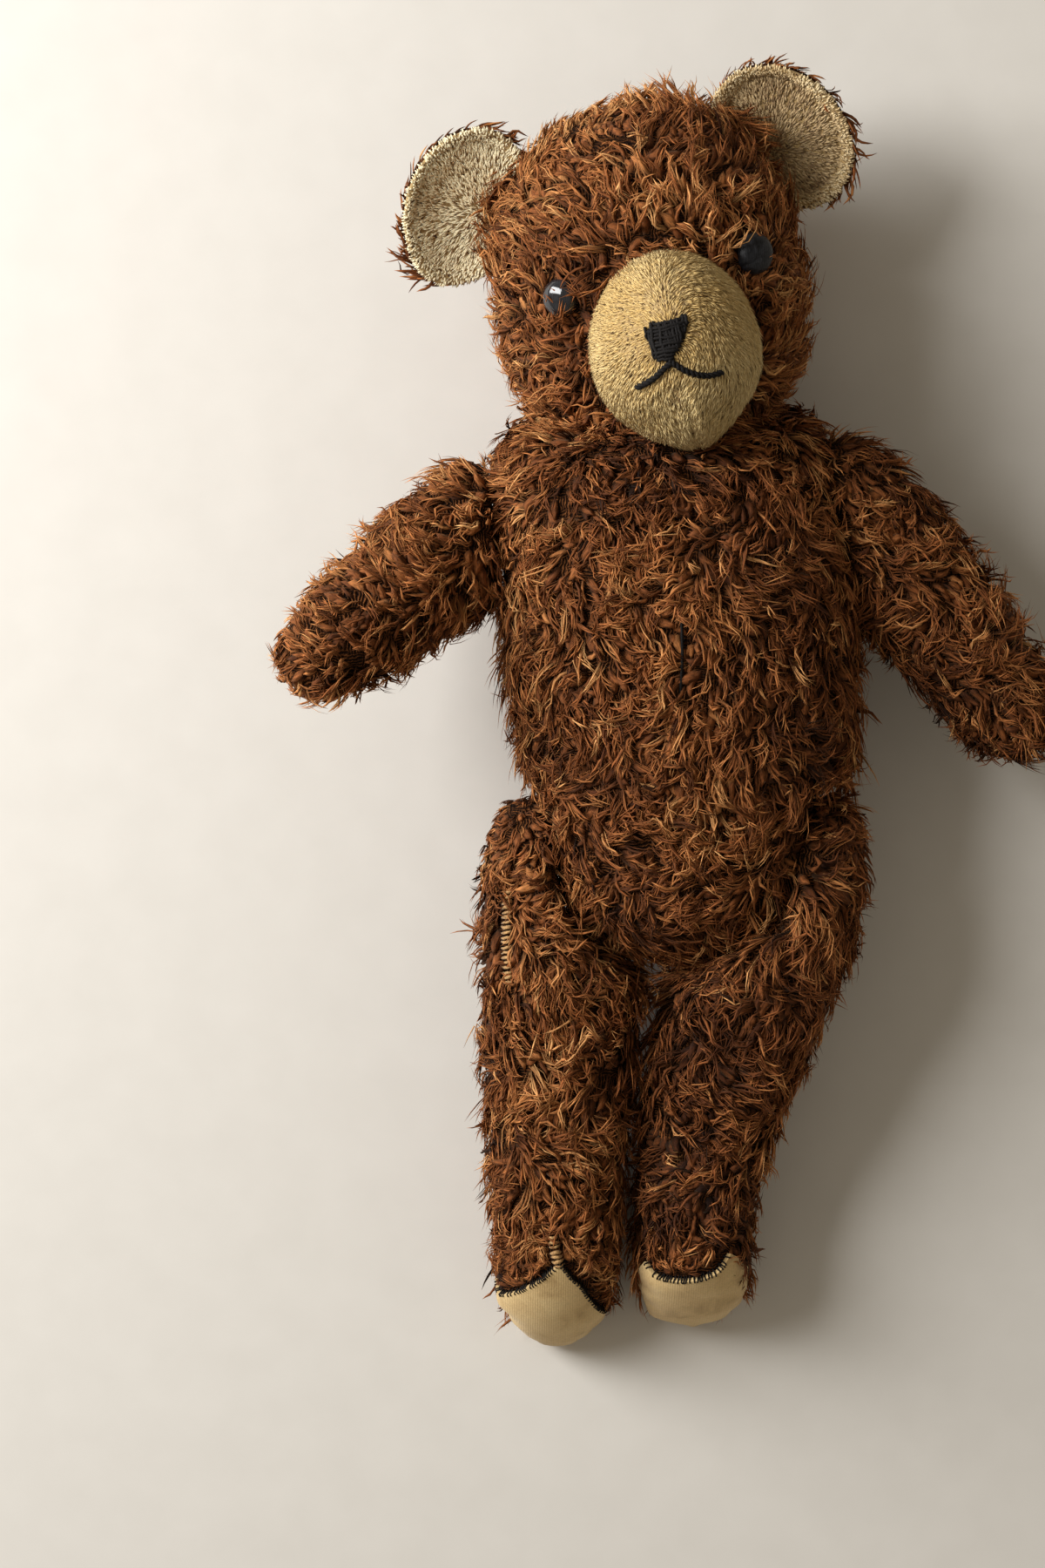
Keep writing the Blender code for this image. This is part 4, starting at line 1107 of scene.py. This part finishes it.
ear_trees = {}
for side, (shell, ear) in linings.items():
    tree = BVHTree.FromObject(shell, bpy.context.evaluated_depsgraph_get())
    ear_trees[side] = (tree, np.array(ear @ Vector((0, 0, 0.006))))
piles = []
for number, form in enumerate(FORMS):
    rng = np.random.default_rng(100 + number)

    def brushed(points, normals):
        """The nap's direction with its swirls, and the pile's tone and wear there."""
        swing = waves(points, SWIRL, 5) + 0.6 * waves(points, SWIRL * 0.45, 6)
        swing += rng.normal(0, 0.30, len(points))
        nap = nap_of(form, points)
        tangent = unit(nap - normals * (nap * normals).sum(axis=1, keepdims=True))
        nap = tangent * np.cos(swing)[:, None] + np.cross(normals, tangent) * np.sin(swing)[:, None]
        tone = 0.47 + 0.12 * waves(points, 0.05, 8) + rng.normal(0, 0.15, len(points))
        # Painted light and shade: paler on the head, the right arm and round the right cheek, darker
        # between the legs.
        tone += PAINTED_LIGHT_PALER.get(form, 0) - painted_shade_of(form, points)
        tone += 0.13 * near_to(points, *LIT_CHEEK_SPOT)
        grown = growth_of(form, points) * (1 - 0.5 * wear_of(points))
        ruff = np.zeros(len(points))
        if form in soles:
            near, away = beside_pad(form, points)
            nap = nap + 1.4 * away * near[:, None]
            grown = grown * (1 - 0.45 * near)
        if form == "head":
            ruff = beside_tree(muzzle_tree, points, RUFF)
            stray = rng.normal(0, 0.45, points.shape) * ruff[:, None]
            nap = unit(nap) * (1 - 1.7 * ruff)[:, None] + stray
            for tree, middle in ear_trees.values():
                beside = beside_tree(tree, points, BESIDE_EAR)
                nap = nap * (1 - beside)[:, None] + unit(middle - points) * 1.5 * beside[:, None]
                grown = grown * (1 + 0.25 * beside)
                ruff = np.maximum(ruff, 0.8 * beside)
        return nap, tone, grown, ruff

    points, normals = scatter(skins[form], MATS, share_of(form), rng)
    nap, tone, grown, ruff = brushed(points, normals)
    count = len(points)
    look = {
        "length": rng.uniform(0.0065, 0.0095, count) * grown,
        "width": rng.uniform(0.0022, 0.0042, count),
        "lift": (rng.uniform(0.25, 0.60, count), rng.uniform(-0.15, 0.10, count)),
        "curl": rng.normal(0, 0.7, count) + waves(points, SWIRL * 0.8, 7),
        "kink": rng.normal(0, 0.35, count),
        "tone": tone * 0.78,
    }
    made = tufts(f"{form}_matted_pile", points, normals, nap, look, 3, 0.16, rng)
    piles.append((form, made, matted))

    points, normals = scatter(skins[form], LOCKS, share_of(form), rng)
    nap, tone, grown, ruff = brushed(points, normals)
    count = len(points)
    golden = rng.random(count) < GOLDEN
    tone = np.where(golden, rng.uniform(0.70, 0.90, count), tone)
    look = {
        "length": rng.uniform(0.0090, 0.0150, count) * grown,
        "width": rng.uniform(0.0007, 0.0013, count),
        "lift": (rng.uniform(0.45, 1.00, count), rng.uniform(-0.40, 0.20, count)),
        "kink": rng.normal(0, 0.70, count),
    }
    look["lift"] = (look["lift"][0] + 0.3 * ruff, look["lift"][1] + 0.3 * ruff)
    # Painted highlight: some locks above the muzzle are made near white, as glinting tips.
    pale = rng.random(count) < 0.3 * near_to(points, *GLINT_SPOT)
    look["tone"] = np.where(pale, 0.98, tone)
    look["curl"] = waves(points, SWIRL * 0.8, 7) + rng.normal(0, 0.55, count)
    if form == "head":
        near = near_to(points, *CROWN)
        look["lift"] = (look["lift"][0] + 0.35 * near, look["lift"][1] + 0.5 * near)
    made = tufts(f"{form}_locks", points, normals, nap, look, 5, 0.40, rng)
    piles.append((form, made, mohair))

    twin = rng.integers(0, count, int(count * STRANDS / LOCKS))
    count = len(twin)
    rise, fall = (angle[twin] for angle in look["lift"])
    look = {
        "length": look["length"][twin] * rng.uniform(0.80, 1.20, count),
        "width": rng.uniform(0.00030, 0.00060, count),
        "lift": (rise * rng.uniform(0.85, 1.2, count), fall + rng.normal(0, 0.12, count)),
        "curl": look["curl"][twin] + rng.normal(0, 0.30, count),
        "kink": look["kink"][twin] + rng.normal(0, 0.25, count),
        "spread": np.cross(normals[twin], rng.normal(0, 0.0008, (count, 3))),
        "tone": look["tone"][twin] + rng.normal(0.04, 0.10, count),
    }
    parts = math.ceil(count / MOST_TUFTS)
    for part in range(parts):
        these = twin[part::parts]
        ours = {key: value[part::parts] for key, value in look.items() if key != "lift"}
        ours["lift"] = tuple(angle[part::parts] for angle in look["lift"])
        name = f"{form}_strands" + (f"_{part + 1}" if parts > 1 else "")
        made = tufts(name, points[these], normals[these], nap[these], ours, 4, 0.45, rng)
        piles.append((form, made, mohair))

for form, piece, finish in piles:
    piece.data.materials.append(finish)
    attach(piece, form)

# The ears' backs carry shorter mohair, which shows as a dark fringe round their rims.
for side, (shell, ear) in ears.items():
    rng = np.random.default_rng(201)
    middle, front = np.array(ear.translation), np.array(ear.to_3x3() @ Vector((0, 0, 1)))

    def fringed(points):
        """How much of the fringe shows at each place, from 0 to 1, and how near the rim it is."""
        off = points - middle
        radial = unit(off - np.outer(off @ front, front))
        at_rim = np.clip(1 + (off @ front) / (0.5 * EAR_RADII[2]), 0, 1)
        shows = np.zeros(len(points))
        for way, least in EAR_FRINGE[side]:
            shows = np.maximum(shows, np.clip((radial @ unit(np.array(way)) - least) / 0.1, 0, 1))
        return shows, at_rim, radial

    def outside(points, normals):
        shows, at_rim, _ = fringed(points)
        off = points - middle
        out = (normals * unit(off + front * 0.004)).sum(axis=1) > 0.1
        return np.where(out, 1.0 + at_rim * (2.2 * shows - 0.85 * (1.0 - shows)), 0.0)

    points, normals = scatter(shell, 190e3, outside, rng)
    count = len(points)
    shows, at_rim, radial = fringed(points)
    round_rim = np.cross(radial, front)
    nap = radial * (0.2 + 0.4 * shows)[:, None] + round_rim
    nap = nap - 0.6 * np.outer(at_rim * (1 - shows), front)
    nap += rng.normal(0, 0.30, (count, 3))
    lift = 1 - (1 - FRINGE_LIFT[side]) * shows
    look = {
        "length": rng.uniform(0.0050, 0.0080, count) * (1 + 0.6 * shows * at_rim),
        "width": rng.uniform(0.0006, 0.0013, count),
        "lift": (rng.uniform(0.2, 0.8, count) * lift, rng.uniform(-0.3, 0.3, count)),
        "curl": rng.normal(0, 0.8, count) * lift,
        "kink": rng.normal(0, 0.4, count),
        "tone": rng.normal(0.46, 0.14, count),
    }
    piece = tufts(f"{side}_ear_locks", points, normals, nap, look, 5, 0.4, rng)
    piece.data.materials.append(mohair)
    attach(piece, "head")

# The plush of the muzzle and the ears' linings: straight cream pile, 2 to 3 mm long.
PLUSH_TONES = (
    (0.0, (0.060, 0.028, 0.010)),
    (0.3, (0.380, 0.225, 0.075)),
    (0.6, (0.660, 0.445, 0.165)),
    (1.0, (0.860, 0.680, 0.350)),
)
LINING_TONES = (
    (0.0, (0.040, 0.024, 0.013)),
    (0.3, (0.260, 0.160, 0.078)),
    (0.6, (0.760, 0.570, 0.310)),
    (1.0, (1.000, 0.880, 0.600)),
)
plush = pile_material("cream_plush", PLUSH_TONES, 0.80, 1.05, 1.0, 0.2, (1.0, 0.9, 0.7))
lining_plush = pile_material("handled_plush", LINING_TONES, 0.85, 1.05, 1.0, 0.2, (1.0, 0.9, 0.7))
rng = np.random.default_rng(301)
nose_spot = np.array(on_muzzle(*NOSE_MIDDLE))
sideways = np.array(HEAD.to_3x3() @ Vector((1, 0, 0)))
upwards = np.array(HEAD.to_3x3() @ Vector((0, 1, 0)))


def on_face(points, normals):
    return np.where(normals @ np.array(face_out) > -0.15, 1.0, 0.0)


points, normals = scatter(muzzle, 2.3e6, on_face, rng)
count = len(points)
from_nose = points - nose_spot
x, y = from_nose @ sideways, from_nose @ upwards
bald = 1.0 * np.exp(-(((x + 0.010) / 0.005) ** 2 + ((y + 0.001) / 0.007) ** 2))
bald += 0.8 * np.exp(-((x / 0.003) ** 2 + ((y + 0.018) / 0.006) ** 2))
bald += 0.8 * np.exp(-((x / 0.009) ** 2 + ((y - 0.008) / 0.004) ** 2))
near = np.hypot(x, y)
swing = 1.25 * np.clip(x / 0.012, -0.2, 1) + 0.35 * waves(points, 0.02, 31)
swing = swing + rng.normal(0, 0.16, count)
radial = unit(from_nose - normals * (from_nose * normals).sum(axis=1, keepdims=True))
nap = radial * np.cos(swing)[:, None] - np.cross(normals, radial) * np.sin(swing)[:, None]
# Painted light: the plush is made lighter towards the bear's left and towards the chin, with a
# painted highlight on its top; 0.66 is its own cream.
lightness = 0.66 + 0.10 * np.clip(x / 0.02, 0, 1) + 0.22 * np.clip(-y / 0.02, 0, 1)
lightness += 0.18 * np.exp(-(((x - 0.002) / 0.009) ** 2 + ((y - 0.020) / 0.009) ** 2))
worn = 1 - 0.65 * np.clip(bald, 0, 1)
look = {
    "length": rng.uniform(0.0024, 0.0040, count) * worn * (1 + 0.25 * np.clip(near / 0.02, 0, 1)),
    "width": rng.uniform(0.00030, 0.00055, count),
    "lift": (rng.uniform(0.30, 0.65, count), rng.uniform(-0.05, 0.30, count)),
    "curl": rng.normal(0, 0.25, count),
    "kink": rng.normal(0, 0.1, count),
    "tone": np.where(rng.random(count) < 0.10 * np.clip(bald, 0, 1), 0.03,
                     lightness + 0.06 * waves(points, 0.02, 32) + rng.normal(0, 0.06, count)),
}
piece = tufts("muzzle_pile", points, normals, nap, look, 2, 0.4, rng, sunk=0.0002)
piece.data.materials.append(plush)
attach(piece, "head")

# How light each lining is (the right one, which the light catches, painted lightest; the left one
# greyed with handling), how much darker the outer wall of its cup is (painted shade inside the rim,
# partly stain), and its stain: depth, place, size.
EAR_TONES_AND_SHADE = {"right": (1.00, 0.22, 0.22), "left": (0.44, 0.05, 0.30)}
EAR_STAIN = {"right": ((0.007, 0.004, 0.0), 0.009), "left": ((-0.002, -0.011, 0.0), 0.008)}
for side, (shell, ear) in linings.items():
    rng = np.random.default_rng(401)
    middle, front = np.array(ear.translation), np.array(ear.to_3x3() @ Vector((0, 0, 1)))
    head_way = unit(muzzle_middle - middle)

    def inside(points, normals):
        off = points - middle
        radial = unit(off - np.outer(off @ front, front))
        return np.where((normals * (front - 0.9 * radial)).sum(axis=1) > -0.1, 1.0, 0.0)

    points, normals = scatter(shell, 1.9e6, inside, rng)
    count = len(points)
    off = points - middle
    depth = -(off @ front) / (EAR_RADII[2] * LINING_DEPTH)
    flat = off - np.outer(off @ front, front)
    radial = unit(flat - head_way * 0.012)
    nap = radial + rng.normal(0, 0.16, (count, 3))
    lip = np.clip(1 - depth / 0.22, 0, 1)
    rim_shade_band = np.exp(-(((depth - 0.42) / 0.22) ** 2)) * np.clip(-(unit(flat) @ head_way) * 1.5, 0, 1)
    low = near_to(off, *EAR_STAIN[side])
    lightness, band_shade_and_dirt, stain = EAR_TONES_AND_SHADE[side]
    # Painted light and shade: the rolled lip is made 0.2 lighter as a painted highlight, and the band
    # inside the outer rim darker as painted shade, partly stain.
    tone = lightness + 0.20 * lip - band_shade_and_dirt * rim_shade_band - stain * low + 0.05 * waves(points, 0.012, 33)
    look = {
        "length": rng.uniform(0.0020, 0.0034, count) * (1 - 0.45 * lip),
        "width": rng.uniform(0.00050, 0.00090, count),
        "lift": (rng.uniform(0.12, 0.28, count), rng.uniform(0.00, 0.12, count)),
        "curl": rng.normal(0, 0.2, count),
        "kink": rng.normal(0, 0.1, count),
        "tone": tone + rng.normal(0, 0.06, count),
    }
    piece = tufts(f"{side}_ear_pile", points, normals, nap, look, 2, 0.2, rng, sunk=0.0)
    piece.data.materials.append(lining_plush)
    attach(piece, "head")

# ---------------------------------------------------------------- seams
# The panels are sewn from inside, but the stitches have pulled open along the body's
# front and the outside of the right thigh, where the thread shows across the gap.
SEAM_PITCH = 0.0016
TANS = ((0.3, (0.20, 0.095, 0.028)), (0.7, (0.60, 0.35, 0.125)))
tan_thread, _ = speckled("tan_thread", 0.7, 1800.0, 3.0, TANS, (0.5, 0.0003), sheen=0.1)
rng = np.random.default_rng(51)
for label, (form, run) in SEAM_RUNS.items():
    skin_tree = BVHTree.FromObject(skins[form], bpy.context.evaluated_depsgraph_get())
    line = np.array(run)
    far = lengths_along(line)
    if form == "right_leg":
        stitches = []
        for at in np.arange(0, far[-1], SEAM_PITCH):
            x, y = (np.interp(at, far, line[:, i]) for i in (0, 1))
            path = []
            for part in (-1, -0.5, 0, 0.5, 1):
                spot = Vector((x + part * THREAD_REACH, y + part * rng.uniform(-0.0001, 0.0009), 0.2))
                over = Vector((0, 0, 0.0026 - 0.0024 * part**2))
                path.append(skin_tree.ray_cast(spot, Vector((0, 0, -1)))[0] + over)
            stitches.append(path)
        radii = [rng.uniform(0.00042, 0.00070) for _ in stitches]
        seam = cords(f"{label}_seam_stitches", stitches, radii, 5)
        seam.data.materials.append(tan_thread)
    else:
        path = []
        for at in np.arange(0, far[-1], 0.0020):
            x, y = (np.interp(at, far, line[:, i]) for i in (0, 1))
            spot = Vector((x, y, 0.2))
            path.append(skin_tree.ray_cast(spot, Vector((0, 0, -1)))[0] + Vector((0, 0, 0.0012)))
        seam = cords(f"{label}_seam", [path], [0.0005], 5)
        seam.data.materials.append(thread)
    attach(seam, form)

# ---------------------------------------------------------------- inside
# Wood wool packs every form. Each joint is two hardboard discs with steel washers on a
# split pin, and the eyes' wire shanks are knotted into the packing. None of it shows.
STRAWS = ((0.35, (0.16, 0.09, 0.035)), (0.55, (0.46, 0.32, 0.15)), (0.75, (0.62, 0.47, 0.25)))
BOARDS = ((0.3, (0.13, 0.07, 0.035)), (0.7, (0.27, 0.16, 0.085)))
STEELS = ((0.3, (0.30, 0.28, 0.26)), (0.7, (0.52, 0.50, 0.47)))
wool, _ = speckled("wood_wool", 0.9, 320.0, 5.0, STRAWS, (1.0, 0.0015), distortion=3.0)
board, _ = speckled("hardboard", 0.55, 600.0, 5.0, BOARDS, (0.3, 0.0003))
steel, shader = speckled("drawn_steel", 0.35, 900.0, 4.0, STEELS, (0.15, 0.0001))
shader.inputs["Metallic"].default_value = 1.0

FINISHES = {"stuffing": wool, "disc": board, "washer": steel, "pin": steel, "shank": steel}
for name, part in nodes.items():
    finish = FINISHES.get(name.split("_")[-1])
    if finish:
        part.data.materials.clear()
        part.data.materials.append(finish)

# ---------------------------------------------------------------- floor, light and camera
# A plain pale floor, one broad soft light low on the bear's right side and above its
# head, and a weak even light from everywhere else.
FLOOR_SIDE = 8.0
LIGHT_PLACE = Vector((-0.95, 0.38, 0.68))
LIGHT_SIDES = (0.50, 1.00)
LIGHT_POWER = 23.5
ROOM_LIGHT, ROOM_STRENGTH = (1.0, 0.89, 0.72, 1.0), 0.27
FLOOR_TONES = ((0.3, (0.690, 0.658, 0.605)), (0.7, (0.715, 0.683, 0.630)))
EYE_POINT = Vector((-0.0477, -0.0203, 1.15))
LENS = 79.2

deselect_all()
bpy.ops.mesh.primitive_plane_add(size=FLOOR_SIDE, location=(0, 0, 0))
floor = bpy.context.object
floor.name = "floor"
paper, _ = speckled("pale_floor", 0.8, 60.0, 4.0, FLOOR_TONES, None)
floor.data.materials.append(paper)
floor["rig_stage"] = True

lamp = bpy.data.lights.new("window", "AREA")
lamp.shape = "RECTANGLE"
lamp.size, lamp.size_y = LIGHT_SIDES
lamp.energy = LIGHT_POWER
lamp_holder = bpy.data.objects.new("window", lamp)
bpy.context.scene.collection.objects.link(lamp_holder)
lamp_holder.location = LIGHT_PLACE
lamp_holder.rotation_euler = (-LIGHT_PLACE).to_track_quat("-Z", "Y").to_euler()

world = bpy.data.worlds.new("room")
bpy.context.scene.world = world
world.use_nodes = True
background = world.node_tree.nodes["Background"]
background.inputs["Color"].default_value = ROOM_LIGHT
background.inputs["Strength"].default_value = ROOM_STRENGTH

lens = bpy.data.cameras.new("camera")
lens.lens = LENS
lens.clip_end = 30.0
camera = bpy.data.objects.new("camera", lens)
bpy.context.scene.collection.objects.link(camera)
camera.location = EYE_POINT
bpy.context.scene.camera = camera
bpy.context.scene.view_settings.view_transform = "Standard"

low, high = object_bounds()
